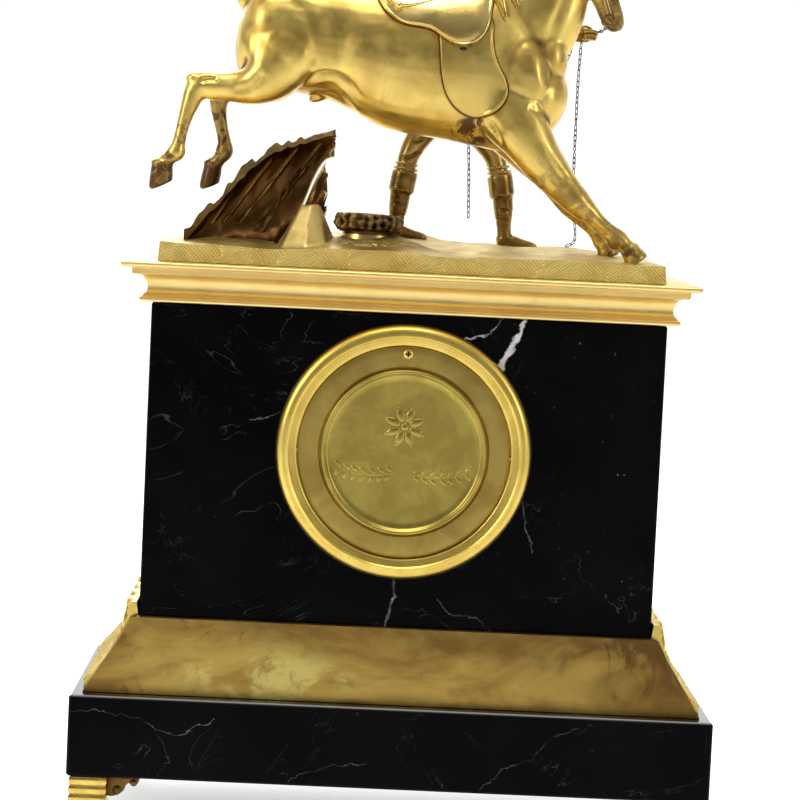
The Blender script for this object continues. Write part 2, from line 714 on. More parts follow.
def make_cornice():
    """The moulding, by its offset from the case wall and height above the case."""
    profile = [(4.6, 0.3), *bow(4.6, 1.7, 1.4, -80, 80, 8), (4.4, 3.5), (4.2, 4.3)]
    profile += [(4.0, 4.4), (2.9, 5.3), (2.3, 6.6), (2.25, 8.2), (2.6, 10.2), (3.5, 12.0), (4.9, 13.4),
                (6.6, 14.2)]
    profile += [(9.4, 14.4), (9.9, 14.8), (10, 17.4), (10.2, 17.6), (12.6, 18.1)]
    profile += bow(13.9, 19.6, 1.5, -75, 60, 10)
    top = CORNICE_TOP - CASE_TOP
    profile.append((13.6, top))
    bm = bmesh.new()
    stacked(bm, [oblong(bm, CASE_HALF + out, CASE_FRONT - out, CASE_BACK + out, CASE_TOP + min(up, top))
                 for out, up in profile])
    settle(piece("cornice_moulding", bm, "gilt_pale", 28), "case", "cornice")


FOOT_SIDE, REEDS, REED_ANGLE, SCROLL_WIDE = 19.5, 6, 72, 9
# outline of a scroll, as distance from the foot and height under the base
SCROLL = [(0, 0), (17, 0), (17.4, -2.6), (16, -4.6), (13.6, -4.6), (12.2, -3.4), (10.6, -4.6), (9.6, -7.6),
          (7, -9.8), (3.4, -10.8), (0, -10.4)]
SCROLL_EYES = [(14.6, -3.2, 1.9), (6.2, -7.2, 2.4)]


def make_feet():
    """Square reeded feet, each with a scroll along both of its inner sides."""
    for name in ("foot_back_left", "foot_back_right", "foot_front_left", "foot_front_right"):
        low, high = (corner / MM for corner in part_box(name))
        x_sign, y_sign = (1 if low.x > 0 else -1), (1 if low.y > 0 else -1)
        outer = Vector((high.x if x_sign > 0 else low.x, high.y if y_sign > 0 else low.y, 0))
        centre = outer - Vector((x_sign, y_sign, 0)) * FOOT_SIDE / 2
        reed = high.z / REEDS
        bm = bmesh.new()
        hoops = []
        for k in range(REEDS):
            for share in range(9):
                angle = math.radians(REED_ANGLE * (share / 4 - 1))
                half = FOOT_SIDE / 2 - 1.1 * (1 - math.cos(angle)) - 0.02
                z = (k + 0.5 + 0.5 * math.sin(angle) / math.sin(math.radians(REED_ANGLE))) * reed
                if k and share == 0:
                    z += 0.05
                hoops.append(oblong(bm, half, centre.y - half, centre.y + half, z, centre.x))
        stacked(bm, hoops)
        settle(piece(name + "_reeded", bm, "gilt", 40), "case", name)
        for tag, turn in (("across", 0), ("along", 1)):
            def at(out, down, side):
                out += FOOT_SIDE - 1
                side -= SCROLL_WIDE / 2
                if turn:
                    return Vector((centre.x + side, outer.y - y_sign * out, high.z + down))
                return Vector((outer.x - x_sign * out, centre.y + side, high.z + down))
            bm = bmesh.new()
            face = bm.faces.new([bm.verts.new(at(out, down, 0) * MM) for out, down in SCROLL])
            slab = bmesh.ops.extrude_face_region(bm, geom=[face])["geom"]
            bmesh.ops.translate(bm, verts=[v for v in slab if isinstance(v, bmesh.types.BMVert)],
                                vec=(at(0, 0, SCROLL_WIDE) - at(0, 0, 0)) * MM)
            bmesh.ops.recalc_face_normals(bm, faces=bm.faces)
            rounded(bm, list(bm.edges), 0.9)
            for out, down, size in SCROLL_EYES:
                for side in (0, SCROLL_WIDE):
                    ball(bm, at(out, down, side), (0.9, size, size) if turn else (size, 0.9, size), rounds=2)
            settle(piece("%s_scroll_%s" % (name, tag), bm, "scroll_brown", 40))


SKIRT_SECTION = [(27, 70.3), (26.8, 73), (26.4, 75), (23.4, 78), (20, 82), (16.8, 86), (14, 90), (11.6, 94.4),
                 (9.6, 99), (7.6, 103), (6.2, 107), (5.5, 111), (5.4, 114.4), (4.6, 116.4), (2.6, 117), (0.4, 116.6)]


LEAF_PITCH = 25.0


def leafage(along, share):
    """Height in mm of a row of lobed leaves with buds between them; share is 0 at the foot."""
    at = (along / LEAF_PITCH + 0.5) % 1.0 - 0.5
    spread = 0.47 * math.sin(math.pi * min(share * 0.92 + 0.06, 1.0)) ** 0.55
    lobes = 1 - 0.26 * abs(math.sin(share * math.pi * 3.5))
    edge = abs(at) / max(spread * lobes, 0.02)
    height = 0.0
    if edge < 1:
        height = 2.0 * (1 - edge ** 3) * (0.72 + 0.28 * math.cos(at * 44 + share * 6 * (1 if at > 0 else -1)))
        height -= 0.9 * math.exp(-(at / 0.022) ** 2) * (1 - share * 0.5)
        height += 0.7 * math.exp(-((share - 0.86) / 0.1) ** 2)
    half = (along / LEAF_PITCH) % 1.0 - 0.5
    bud = ((half / 0.10) ** 2 + ((share - 0.78) / 0.13) ** 2) ** 0.5
    if bud < 1:
        height = max(height, 2.2 * (1 - bud ** 2) ** 0.5)
    stem = abs(half) / 0.035
    if stem < 1 and share < 0.8:
        height = max(height, 1.2 * (1 - stem ** 2) ** 0.5)
    return height * min(1, share * 14, (1 - share) * 12)


def make_skirt_castings():
    """Three splayed castings with leaves standing on them, closed behind."""
    outside = stations([(o, z, 0) for o, z in SKIRT_SECTION], 3)
    lengths = np.cumsum([0] + [float(np.linalg.norm(b - a)) for a, b in zip(outside, outside[1:])])
    lengths /= lengths[-1]
    inside = [(0.4, 110), (1.4, 98), (5, 90), (11, 81), (15, 72), (15.4, 70.3)]

    def section(v):
        """Offset, height, outward direction and share up the face, around the closed section."""
        if v < 0.8:
            share = v / 0.8
            k = int(min(np.searchsorted(lengths, share, side="right") - 1, len(lengths) - 2))
            t = (share - lengths[k]) / (lengths[k + 1] - lengths[k])
            a, b = outside[k], outside[k + 1]
            at = a + (b - a) * t
            slope = (b - a)[:2] / max(np.linalg.norm((b - a)[:2]), 1e-9)
            return at[0], at[1], (slope[1], -slope[0]), share
        t = (v - 0.8) / 0.2 * (len(inside) - 1)
        k = int(min(t, len(inside) - 2))
        if v > 0.9999:
            return outside[0][0], outside[0][1], (0, 0), 0
        at = Vector(inside[k]).lerp(Vector(inside[k + 1]), t - k)
        return at.x, at.y, (0, 0), 0

    def lifted(along, share, seed):
        return leafage(along, share) + 0.35 * min(1, share * 14) * wander.noise(Vector(seed) * 0.22)

    for name, sign in (("skirt_left_panel", 1), ("skirt_right_panel", -1)):
        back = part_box(name)[1].y / MM - 0.05

        def side(u, v):
            offset, z, out, share = section(v)
            front = CASE_FRONT - offset + 0.35
            y = back + (front - back) * u
            lift = lifted(y + 4, share, (y, z, sign))
            return (sign * (CASE_HALF + offset + out[0] * lift), y, z + out[1] * lift * 0.6)
        bm = bmesh.new()
        mapped(bm, 150, 70, side, caps=True)
        finished(name + "_leafage", bm, "gilt", 50, 8, "case", name)

    def front(u, v):
        offset, z, out, share = section(v)
        half = CASE_HALF + offset - 0.35
        x = -half + 2 * half * u
        lift = lifted(x + LEAF_PITCH / 2, share, (x, z, 5))
        return (x, CASE_FRONT - offset - out[0] * lift, z + out[1] * lift * 0.6)
    bm = bmesh.new()
    mapped(bm, 340, 70, front, caps=True)
    finished("skirt_front_leafage", bm, "gilt", 50, 8, "case", "skirt_front_panel")


# ---- ground, trunk and stump ---------------------------------------------------------------
def ease(value):
    """A smooth step from 0 to 1."""
    value = min(max(value, 0.0), 1.0)
    return value * value * (3 - 2 * value)


def hump(x, y, at, spread, height):
    return height * math.exp(-((x - at[0]) / spread[0]) ** 2 - ((y - at[1]) / spread[1]) ** 2)


# flat faces of the boulder, as the way each looks, its steepness and its reach
FACETS = [(1, 0.15, 1.9, 14.5), (-1, 0.2, 3.2, 11), (0.45, 0.9, 1.9, 11.5), (-0.55, 0.85, 2.3, 10),
          (0.1, -1, 2.4, 11)]


def boulder(x, y):
    """Height of the hewn boulder over the ground, from its middle."""
    faces = (steep * (reach - along * x - across * y) for along, across, steep, reach in FACETS)
    return max(0.0, min(20.6 + 0.2 * x - 0.12 * y, *faces))


def ground(x, y):
    """Height of the cast ground."""
    height = 302.2 + 0.6 * math.sin(x / 17) + 0.35 * math.sin(x / 7 + 1)
    slope = ease((58 - y) / 70) * ease((LAND_HIGH.x - abs(x)) / 28)
    height += slope * (5.4 + 0.02 * x)
    height += hump(x, y, (2, -34), (24, 14), 3.5)
    height += hump(x, y, (20, 40), (25, 17), 8.6)
    return height + boulder(x - 54.5, y - 46)


WALL_STEPS = 6


def make_terrain():
    """The cast ground with its chased edge, which widens a little towards the cornice."""
    half = LAND_HIGH.x / 1.008
    front, back = LAND_LOW.y, LAND_HIGH.y

    def land(u, v):
        x, y = -half + 2 * half * u, front + (back - front) * v
        rough = 0.5 * wander.noise(Vector((x, y, 0)) * 0.09) + 0.18 * wander.noise(Vector((x, y, 9)) * 0.3)
        edge = ease((half - abs(x)) / 6) * ease((back - y) / 5) * ease((y - front) / 5)
        rock = hump(x, y, (54, 46), (12, 11), 1.0)
        facets = rock * 2.2 * abs(wander.noise(Vector((x * 0.1, y * 0.1, 4))))
        return (x, y, ground(x, y) + rough * (0.35 + 0.65 * edge) - facets)
    bm = bmesh.new()
    mapped(bm, 250, 112, land)
    top = set(bm.faces)
    foot = CORNICE_TOP + 0.3
    for step in range(1, WALL_STEPS + 1):
        made = bmesh.ops.extrude_edge_only(bm, edges=rim_of(bm))["geom"]
        for vert in (v for v in made if isinstance(v, bmesh.types.BMVert)):
            z = vert.co.z / MM
            vert.co.z = (z + (foot - z) / (WALL_STEPS + 1 - step)) * MM
            vert.co.x *= 1 + 0.0128 * step / WALL_STEPS ** 2
    bmesh.ops.holes_fill(bm, edges=rim_of(bm), sides=0)
    for face in bm.faces:
        face.material_index = 0 if face in top else 1
    settle(piece("cast_ground", bm, ["gilt_ground", "gilt_chased"], 42), "case", "terrain")


# stops along the trunk, as x, height of the upper rim, height of the lower rim and half depth
LOG = [(119, 304, 299, 4), (112, 311.5, 299, 6.5), (105.5, 320, 299, 8), (98, 328.6, 300, 11),
       (91.6, 336.2, 300.4, 12.6), (86, 342.4, 300, 13.4), (79, 349, 300, 14.6), (71, 353.4, 301.5, 15.4),
       (62.6, 356.6, 308, 16), (52, 360.4, 314, 16), (44, 363, 321, 15)]
# grown ridges on the inside, as (x, z)
FIBRES = [[(62, 353.5), (77.7, 330.8), (91.1, 312.8)],
          [(50.1, 356.7), (63.4, 337.7), (77.2, 318.8), (82.1, 310.1)],
          [(57, 344), (66, 331), (75, 317), (78, 310)], [(75, 347), (88, 329), (99, 313)],
          [(88, 338), (97, 325), (105, 312)]]
LOG_Y, LOG_WALL = 31, 2.2


def make_log():
    """A split hollow trunk: fibres inside, knobbly bark outside, and a torn board below it."""
    spine = stations([(*s, 0) for s in LOG], 8)

    def at_x(x):
        for a, b in zip(spine, spine[1:]):
            if a[0] >= x >= b[0]:
                t = (a[0] - x) / max(a[0] - b[0], 1e-6)
                return a + (b - a) * t
        return spine[-1] if x < spine[-1][0] else spine[0]

    def slit(x):
        """Where around the section the crack between trunk and torn board runs."""
        return 285 - 128 * ease((74 - x) / 28)

    def near_fibre(x, z):
        """How far the nearest ridge is."""
        best = 99.0
        for line in FIBRES:
            for (ax, az), (bx, bz) in zip(line, line[1:]):
                t = ((x - ax) * (bx - ax) + (z - az) * (bz - az)) / ((bx - ax) ** 2 + (bz - az) ** 2)
                t = min(max(t, 0), 1)
                best = min(best, math.hypot(x - ax - t * (bx - ax), z - az - t * (bz - az)))
        return best

    def shell(start, stop, far_end, lumpy):
        """A bent board: u runs along it and v around it, outside first and then back inside."""
        def at(u, v):
            x = start + (stop - start) * u
            inner = 0.5 < v < 0.9999
            share = (1 - v) * 2 if v > 0.5 else v * 2
            first, last = far_end(x)
            ragged = 1.6 * wander.noise(Vector((share * 9, 3, lumpy)))
            x += (ragged + 1.4 * math.sin(share * 23)) * ease((u - 0.86) / 0.14) * 0.8
            _, rim, low, deep, _ = at_x(min(max(x, spine[-1][0]), spine[0][0]))
            angle = math.radians(first + (last - first) * share)
            tall = (rim - low) / 2
            thick = LOG_WALL * (0.9 + 0.3 * wander.noise(Vector((x * 0.2, share * 4, 1))))
            if inner:
                push = -thick
                z_here = (rim + low) / 2 + (tall - thick) * math.sin(angle)
                push -= 1.0 * math.exp(-(near_fibre(x, z_here) / 0.55) ** 2)
                push -= 0.35 * abs(wander.noise(Vector((x * 0.12 + z_here * 0.06, z_here * 0.12 - x * 0.02, 7))))
            else:
                bark = wander.noise(Vector((x * 0.16, share * 9, 2)))
                bark += 0.5 * wander.noise(Vector((x * 0.4, share * 20, 4)))
                push = 0.9 * bark + 0.4
            knob = max(0.0, wander.noise(Vector((x * 0.21, 0.4, lumpy))) + 0.12) * lumpy
            push += knob * math.exp(-(share / 0.09) ** 2) * (6.5 if not inner else 1.5)
            y = LOG_Y + (deep + push) * math.cos(angle)
            z = (rim + low) / 2 + (max(tall, 1) + push) * math.sin(angle)
            return (x, y, max(z, ground(x, y) - 3))
        return at
    for name, across, deep, shape, hollows, replaced in (
            ("hollow_trunk", 110, 150, shell(119, 43.6, lambda x: (80, slit(x)), 1.0), 6, "hollow_log"),
            ("torn_board", 40, 60, shell(72, 46.5, lambda x: (slit(x) + 5 * ease((72 - x) / 14), 270), 0.2),
             5, None)):
        bm = bmesh.new()
        mapped(bm, across, deep, shape, caps=True)
        board = piece(name, bm, ["hollow_wood", "bark"], 60)
        paint_bark(board, at_x)
        settle(mark_hollows(board, hollows), "case", replaced)


def paint_bark(obj, at_x):
    """Gives the bark finish to the outside and the rim of the trunk."""
    for face in obj.data.polygons:
        middle, out = face.center / MM, face.normal
        _, rim, low, _, _ = at_x(min(middle.x, 118.9))
        inward = out.y * (middle.y - LOG_Y) + out.z * (middle.z - (rim + low) / 2) < 0
        face.material_index = 0 if inward and middle.z < rim - 1.5 else 1


def make_stump():
    """A sawn slab of trunk with knobbly bark, tipped a little on its mound."""
    low, high = (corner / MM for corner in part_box("stump"))
    centre = Vector(((low.x + high.x) / 2, (low.y + high.y) / 2, 0))
    top = high.z - 0.6
    profile = [(0, 0), (6, 0.1), (11, 0), (14.6, 0.1), (15.8, -0.3), (16.6, -1.2), (16.9, -3), (16.9, -5),
               (16.6, -7), (15.8, -8), (14.4, -8.4), (13.6, -9), (13.2, -11), (13, -16), (0, -16)]
    path = stations(profile, 3)
    tip = (rotated(-2, "Y") @ rotated(3, "X")).to_3x3()

    def slab(u, v):
        k = int(min(v * (len(path) - 1), len(path) - 2))
        r, z = path[k] + (path[k + 1] - path[k]) * (v * (len(path) - 1) - k)
        angle = u * TURN
        way = Vector((math.cos(angle), math.sin(angle), 0))
        rim = ease((r - 12) / 4) * ease((z + 9.2) / 1.4)
        nubs = abs(math.sin(angle * 11 + 0.6 * math.sin(angle * 3))) ** 0.7
        knobs = wander.noise(way * 5 + Vector((0, 0, z * 0.35)))
        r += rim * (nubs * 1.6 - 0.9 + knobs * 2.2)
        z -= rim * ease(-z / 4) * 2.4 * max(0.0, wander.noise(way * 3 + Vector((0, 0, 8))) + 0.1)
        z += 0.3 * wander.noise(Vector((r * 0.5, angle, 3))) * ease(r / 3) - 0.4 * rim * nubs
        return centre + Vector((0, 0, top)) + tip @ (way * r + Vector((0, 0, z)))
    bm = bmesh.new()
    mapped(bm, 176, 44, slab)
    stump = piece("sawn_stump", bm, ["bark", "hollow_wood"], 60)
    for face in stump.data.polygons:
        face.material_index = int(face.center.z / MM < top - 9)
    settle(mark_hollows(stump, 6), "case", "stump")


# ---- horse ---------------------------------------------------------------------------------
# Stops are x, z, half depth and half width on the middle plane, and x, y, z and the same for a leg.
TORSO = [(96.5, 404, 4, 6), (93.5, 406, 17, 14), (86, 411, 27, 20), (76, 413, 30, 23), (64, 413, 31, 24),
         (50, 411, 31, 23.4), (36, 408, 33.5, 23.4), (18, 404, 38, 24.6), (0, 402.5, 39.5, 25),
         (-16, 402.5, 41.5, 24.4), (-32, 402, 43.5, 22.6), (-46, 400, 43.5, 20), (-58, 394, 34, 17.6),
         (-67, 389, 24, 15), (-73.5, 387, 14, 11), (-77.2, 386.5, 6, 5.5)]
NECK = [(-34, 404, 30, 17), (-52, 418.6, 27, 15), (-62.4, 433.4, 23, 12.8), (-67.6, 449.6, 19, 10.8),
        (-70.5, 464, 16, 9), (-75, 476, 11, 7.4), (-78, 482, 5, 4.8)]
HEAD = [(-73.5, 484, 5, 4.6), (-77, 476, 9.6, 7.6), (-81.6, 467, 12.4, 8.8), (-86.6, 456, 11, 8),
        (-91, 446, 8.4, 6.6), (-94.8, 437.4, 6.8, 5.6), (-98, 430, 6.2, 5.8), (-100.4, 424.6, 4.9, 5),
        (-101.4, 421.8, 2.4, 2.8)]
EAR = [(-69.4, 481, 3.2, 2.4), (-70.4, 486, 3.3, 2.3), (-69.6, 491, 2.5, 1.7), (-68.2, 495.4, 1.2, 0.9),
       (-67.6, 497.8, 0.4, 0.4)]
NEAR_HIND = [(70, 35, 412, 21, 11), (74, 36.5, 400, 20, 12), (79, 37.6, 390, 15, 11), (87, 38, 384.4, 10.4, 9),
             (96, 38, 383.2, 8.0, 7), (105, 38, 383, 7.0, 5.4), (112, 38, 383.4, 6.8, 4.8), (116, 38, 379.4, 5.8, 4.4),
             (118.4, 38, 372.6, 4.6, 3.8), (120.4, 38, 366, 3.7, 3.2), (122, 38, 359, 3.3, 3.0), (123.2, 38, 353, 3.5, 3.3),
             (124.4, 38, 348.4, 4.9, 4.3), (127.4, 38, 345.6, 3.6, 3.5), (130.4, 38, 343.2, 4, 4)]
FAR_HIND = [(70, 13, 412, 21, 11), (74, 11.5, 400, 20, 12), (77, 10.4, 390, 14, 11), (84, 10, 385.6, 10, 9),
            (91, 10, 384.4, 8.2, 7), (98, 10, 383.6, 7.2, 5.4), (103.2, 10, 381.4, 6.4, 4.8), (104.8, 10, 375, 4.8, 4.1),
            (104, 10, 368, 3.8, 3.4), (102.4, 10, 361, 3.4, 3.0), (101, 10, 355, 3.6, 3.3), (100.8, 10, 350, 4.9, 4.3),
            (103, 10, 346, 3.6, 3.5), (105.4, 10, 343.6, 4, 4)]
NEAR_FORE = [(-40, 34, 388, 19, 9), (-48, 36.6, 375, 17, 10), (-56, 38, 364.6, 13.8, 9.8), (-64, 38, 353.8, 11.6, 8.8),
             (-72.2, 38, 344.4, 9.8, 7.6), (-79.6, 38, 336.8, 8.0, 6.6), (-86, 38, 330.8, 7.0, 6.2),
             (-91.4, 38, 326.4, 5.3, 4.9), (-97, 38, 321.4, 4.3, 3.9), (-102.4, 38, 317.2, 4.4, 4),
             (-106.6, 38, 314.2, 5.1, 4.6), (-110.4, 38, 311, 4.2, 4), (-113, 38, 308.6, 4.9, 4.8)]
FAR_FORE = [(-38, 14, 388, 19, 9), (-45, 11.4, 374, 16, 10), (-53, 10, 363, 12.6, 9.4), (-62, 10, 353, 9.6, 8.2),
            (-70.4, 10, 344.2, 7.4, 6.6), (-77, 10, 336.6, 6.4, 5.8), (-82.6, 10, 330.4, 6.3, 5.8), (-86.6, 10, 326.2, 5.2, 4.9),
            (-91, 10, 322.2, 4.2, 3.9), (-95.4, 10, 318.8, 4.3, 4), (-98.6, 10, 316.2, 5, 4.5),
            (-101, 10, 312.8, 4.1, 4), (-102.6, 10, 310.4, 4.8, 4.8)]
# coronet, sole, and the half width at each
HOOVES = {"near_hind": ((131.2, 38, 343), (131.6, 38, 330.6), 6.2, 6.2),
          "far_hind": ((106.2, 10, 343.4), (107.6, 10, 331.2), 5.4, 5.6),
          "near_fore": ((-112.6, 38, 309.4), (-117.4, 38, 302.6), 5.6, 6.6),
          "far_fore": ((-102.4, 10, 311), (-105, 10, 304), 5.4, 6.2)}


def hoof(bm, top, sole, crown, tread):
    """A hoof with a raised coronet, widening to its sole."""
    top, sole = Vector(top), Vector(sole)
    step = sole - top
    stops = [(*(top - step * 0.14), crown * 0.7, crown * 0.7), (*top, crown, crown * 0.95),
             (*(top + step * 0.1), crown * 0.88, crown * 0.86),
             (*(top + step * 0.5), (crown + tread) / 2 * 0.96, tread * 0.88), (*sole, tread, tread * 0.9)]
    sleeve(bm, stops, 20, per_span=2)


LEGS = (NEAR_HIND, FAR_HIND, NEAR_FORE, FAR_FORE)
# lumps added to both flanks before the skin is fused, as x, distance from the middle plane, z and size
BULK = [(-60, 8, 386, (14, 9, 16)), (-63, 4, 405, (13.5, 11, 17)), (-52, 13.5, 396, (15, 7.6, 20)),
        (70, 14, 404, (19, 11, 19)), (-81.4, 4.6, 465, (8.6, 4.4, 9))]
# lumps and dents of the flanks, as x, distance from the middle plane, z, reach and height
MUSCLES = [(62, 22, 400, (16, 14, 15), 2.2), (82, 22, 420, (13, 14, 12), 1.5), (45, 22, 405, (8, 14, 18), -2.6),
           (40, 22, 386, (7, 12, 7), -1.6), (14, 22, 398, (26, 14, 22), 1.4), (-30, 22, 424, (12, 14, 12), 1.2),
           (-56, 22, 396, (12, 14, 15), 0.7), (-66, 14, 384, (9, 8, 10), 0.7),
           (-60, 16, 415, (10, 12, 12), -0.3), (-86, 8, 462, (3.4, 3, 3.4), -0.8)]
# folds of the flanks, as stops (x, z), width and height
FOLDS = [([(60, 384), (52, 388), (45, 389), (38, 384), (32, 376), (26, 370)], 1.7, 0.7),
         ([(61, 387), (53, 392), (44, 393), (36, 388), (29, 380)], 1.2, -0.7),
         ([(57, 382), (50, 383.4), (43, 382), (37, 377)], 1.0, -0.6),
         ([(93, 424), (88, 410), (86, 398)], 4.0, -0.4), ([(66, 430), (58, 418), (54, 404), (56, 392)], 3.6, -1.0),
         ([(-76, 446), (-68, 424), (-64, 404), (-66, 392)], 2.8, -0.6),
         ([(-44, 434), (-56, 420), (-66, 404), (-72, 392)], 3.6, -0.5),
         ([(-66, 373), (-63, 377), (-56, 380)], 1.8, -0.8), ([(-46, 396), (-54, 392), (-60, 394)], 4.0, -0.3),
         ([(-30, 372), (-37, 371), (-41, 366), (-45, 358)], 1.1, -0.6),
         ([(-35, 377), (-40, 374), (-46, 365)], 1.8, 0.5)]
# eyes, nostrils and lips
FEATURES = [(-84.4, 9, 470, (3.2, 4, 2.6), 1.1), (-85, 9, 466.6, (2.2, 3, 1.6), 1.1),
            (-84.6, 9, 468.6, (2.6, 3, 0.8), -0.8), (-100.6, 5, 429, (1.6, 2.4, 2.2), -1.5),
            (-99, 5.4, 431, (2.4, 2.4, 2.2), 0.7)]
FACE_LINES = [([(-101.4, 2, 424), (-97, 5, 425.4), (-93.6, 5, 429)], 0.9, -0.9),
              ([(-90, 7, 458), (-95, 6, 444), (-98, 5, 436)], 2.0, -0.8),
              ([(-69.8, 6.4, 483), (-70.6, 6.6, 489), (-69, 5.6, 494)], 1.0, -1.3)]
# the hind hooves' toes and heels, as a place, reach, height and push
HOOF_ENDS = [((137, 38, 329), (5, 9, 5), 2.6, (0.1, 0, -1)), ((125.6, 38, 331), (4.5, 9, 5), 2.8, (0, 0, 1)),
             ((112.4, 10, 330), (4.5, 9, 5), 2.4, (0.2, 0, -1)), ((102, 10, 332), (4, 9, 5), 2.2, (0.2, 0, 1))]


def level(stops):
    """Stops of the middle plane with their Y put in."""
    return [(x, HORSE_Y, *rest) for x, *rest in stops]


def make_horse():
    """One casting of body, neck, head and legs."""
    bm = bmesh.new()
    sleeve(bm, level(TORSO), 36, upright=True)
    sleeve(bm, level(NECK), 28)
    sleeve(bm, level(HEAD), 24)
    for leg in LEGS:
        sleeve(bm, leg, 20)
    for sizes in HOOVES.values():
        hoof(bm, *sizes)
    for at, size in (((117, 38, 386.4), (4, 3.4, 3.6)), ((107, 10, 385.6), (3.8, 3.4, 3.4))):
        ball(bm, at, size)
    for side in (1, -1):
        sleeve(bm, [(x, HORSE_Y + side * 4.7, *rest) for x, *rest in EAR], 14)
        for x, out, z, size in BULK:
            ball(bm, (x, HORSE_Y + side * out, z), size)
    ball(bm, (90, 24, 430), (7, 7, 7))
    ball(bm, (51, 26, 381), (7, 3.2, 2.8), rotated(24, "Y"))
    horse = fused("horse_casting", bm, 0.95, "horse_gilt", 4)
    shape_horse(Clay(horse))
    return settle(mark_hollows(horse, 18), "case", "horse")


def shape_horse(clay):
    """Muscle, bone and tendon under the skin, the near side first and its far twin after."""
    for side in (1, -1):
        for x, out, z, reach, by in MUSCLES:
            clay.swell((x, HORSE_Y + side * out, z), reach, by)
        for stops, wide, by in FOLDS:
            clay.line([(x, 0, z) for x, z in stops], wide, by, side)
    for leg, shift in ((38, 0), (10, 7)):
        fore = [(-62, leg + 6, 362), (-70, leg + 6, 352), (-78, leg + 5, 343)]
        clay.line([(x + shift, y, z) for x, y, z in fore], 1.5, -1.2)
        clay.line([(x + shift + 7, y, z - 3) for x, y, z in fore], 1.3, -0.9)
        clay.swell((-84 + shift, leg, 334.6), (4, 6, 4), 0.9)
        tendon = ((-91, 3.4, 322.6), (-97, 3.4, 317.8), (-101, 3.6, 315))
        clay.line([(x + shift, leg + out, z) for x, out, z in tendon], 0.9, -0.7)
        clay.swell((-104 + shift * 0.9, leg, 311), (3, 3, 2.6), 1.5)
    for leg, shift in ((38, 0), (10, -12)):
        for face in (5, -5):
            hock = ((104, 387), (109.6, 386.8), (113, 385))
            clay.line([(x + shift, leg + face, z) for x, z in hock], 1.4, -2.0)
        clay.swell((108 + shift, leg, 375.4), (3, 4, 2.6), 0.8)
        clay.line([(96 + shift, leg + 6, 381), (88 + shift * 0.7, leg + 8, 383), (80, leg + 9, 391)], 2.2, -1.1)
    clay.swell((-76, 24, 384), (6, 2.2, 12), -1.2)
    clay.settle()
    for lump in HOOF_ENDS:
        clay.swell(*lump)
    for side in (1, -1):
        for x, out, z, reach, by in FEATURES:
            clay.swell((x, HORSE_Y + side * out, z), reach, by)
        for stops, wide, by in FACE_LINES:
            clay.line([(x, HORSE_Y + side * out, z) for x, out, z in stops], wide, by)
    clay.settle(1)


def flank(skin, side, x, z):
    """Where a side of the horse is met, and the way it faces there."""
    return skin.ray_cast(Vector((x, HORSE_Y + side * 60, z)) * MM, Vector((0, -side, 0)), 0.1)[:2]


def locks(name, ways, finish_key, sides=8):
    """Hair as many tapering locks, each a list of stops."""
    bm = bmesh.new()
    for stops in ways:
        sleeve(bm, stops, sides, per_span=3)
    return mark_hollows(piece(name, bm, finish_key, 70), 3)


def make_hair(skin):
    """Mane, forelock and tail."""
    crest = stations([(-38, 443), (-46, 452.6), (-52, 462), (-57.6, 472), (-64, 481), (-70, 486.4)], 6)
    ways = []
    for k, root in enumerate(crest):
        for side in (1, -1):
            sway = wander.noise(Vector((k * 1.7, side, 0)))
            fall = 15 + 5 * sway + (6 if side > 0 and k < 8 else 0)
            stops = []
            for step in range(6):
                t = step / 5
                x = root[0] + 3.2 + (-6 + 9 * sway) * t * t + 1.5 * math.sin(t * 5 + k)
                z = root[1] + 2.2 * math.sin(t * 2.6) - fall * t ** 1.4
                y = HORSE_Y + side * (2.2 + 9 * t ** 0.7)
                hit = flank(skin, side, x, z)[0]
                if hit and t > 0.1:
                    y = hit.y / MM + side * 0.7
                thick = 1.9 * (1 - t) ** 0.6 * (0.5 + 0.5 * min(1, t * 4)) + 0.25
                stops.append((x, y, z, thick, thick * 0.8))
            ways.append(stops)
    for k in range(5):
        y = HORSE_Y + (k - 2) * 1.7
        ways.append([(-71, y, 486, 1.6, 1.5), (-76.4, y, 486.4, 1.7, 1.6), (-81, y + (k - 2) * 0.3, 481, 1.5, 1.4),
                     (-84.6, y + (k - 2) * 0.7, 474, 1.1, 1.0), (-86.4, y + (k - 2) * 0.9, 468, 0.4, 0.4)])
    settle(locks("mane", ways, "gilt"))
    spine = stations(level([(84, 433), (89, 442), (97, 451), (109, 456.6), (123, 457.6), (136, 453.6),
                            (146, 448), (151, 444)]), 2)
    ways = []
    for ring, count, radius in ((0, 1, 0.0), (1, 7, 2.6), (2, 11, 5.0)):
        for k in range(count):
            angle = TURN * k / count + ring
            reach = len(spine) - (0 if k % 3 == 0 else 1 + (k * 7 + ring) % 4)
            stops = []
            for step, at in enumerate(spine[:reach]):
                t = step / (len(spine) - 1)
                full = radius * (0.45 + 1.0 * math.sin(min(t * 1.25, 1) * math.pi * 0.72))
                turn_by = angle + t * 2.2 + 0.3 * math.sin(t * 9 + k)
                thick = (2.5 if ring else 4.0) * (0.5 + 0.9 * math.sin(min(t + 0.12, 1) * math.pi))
                half = max(thick * (1 - (step / reach) ** 4 * 0.9) * 0.75, 0.3)
                stops.append((at[0], at[1] + full * math.cos(turn_by), at[2] + full * math.sin(turn_by) * 0.9,
                              half, half))
            ways.append(stops)
    settle(locks("tail", ways, "gilt"))


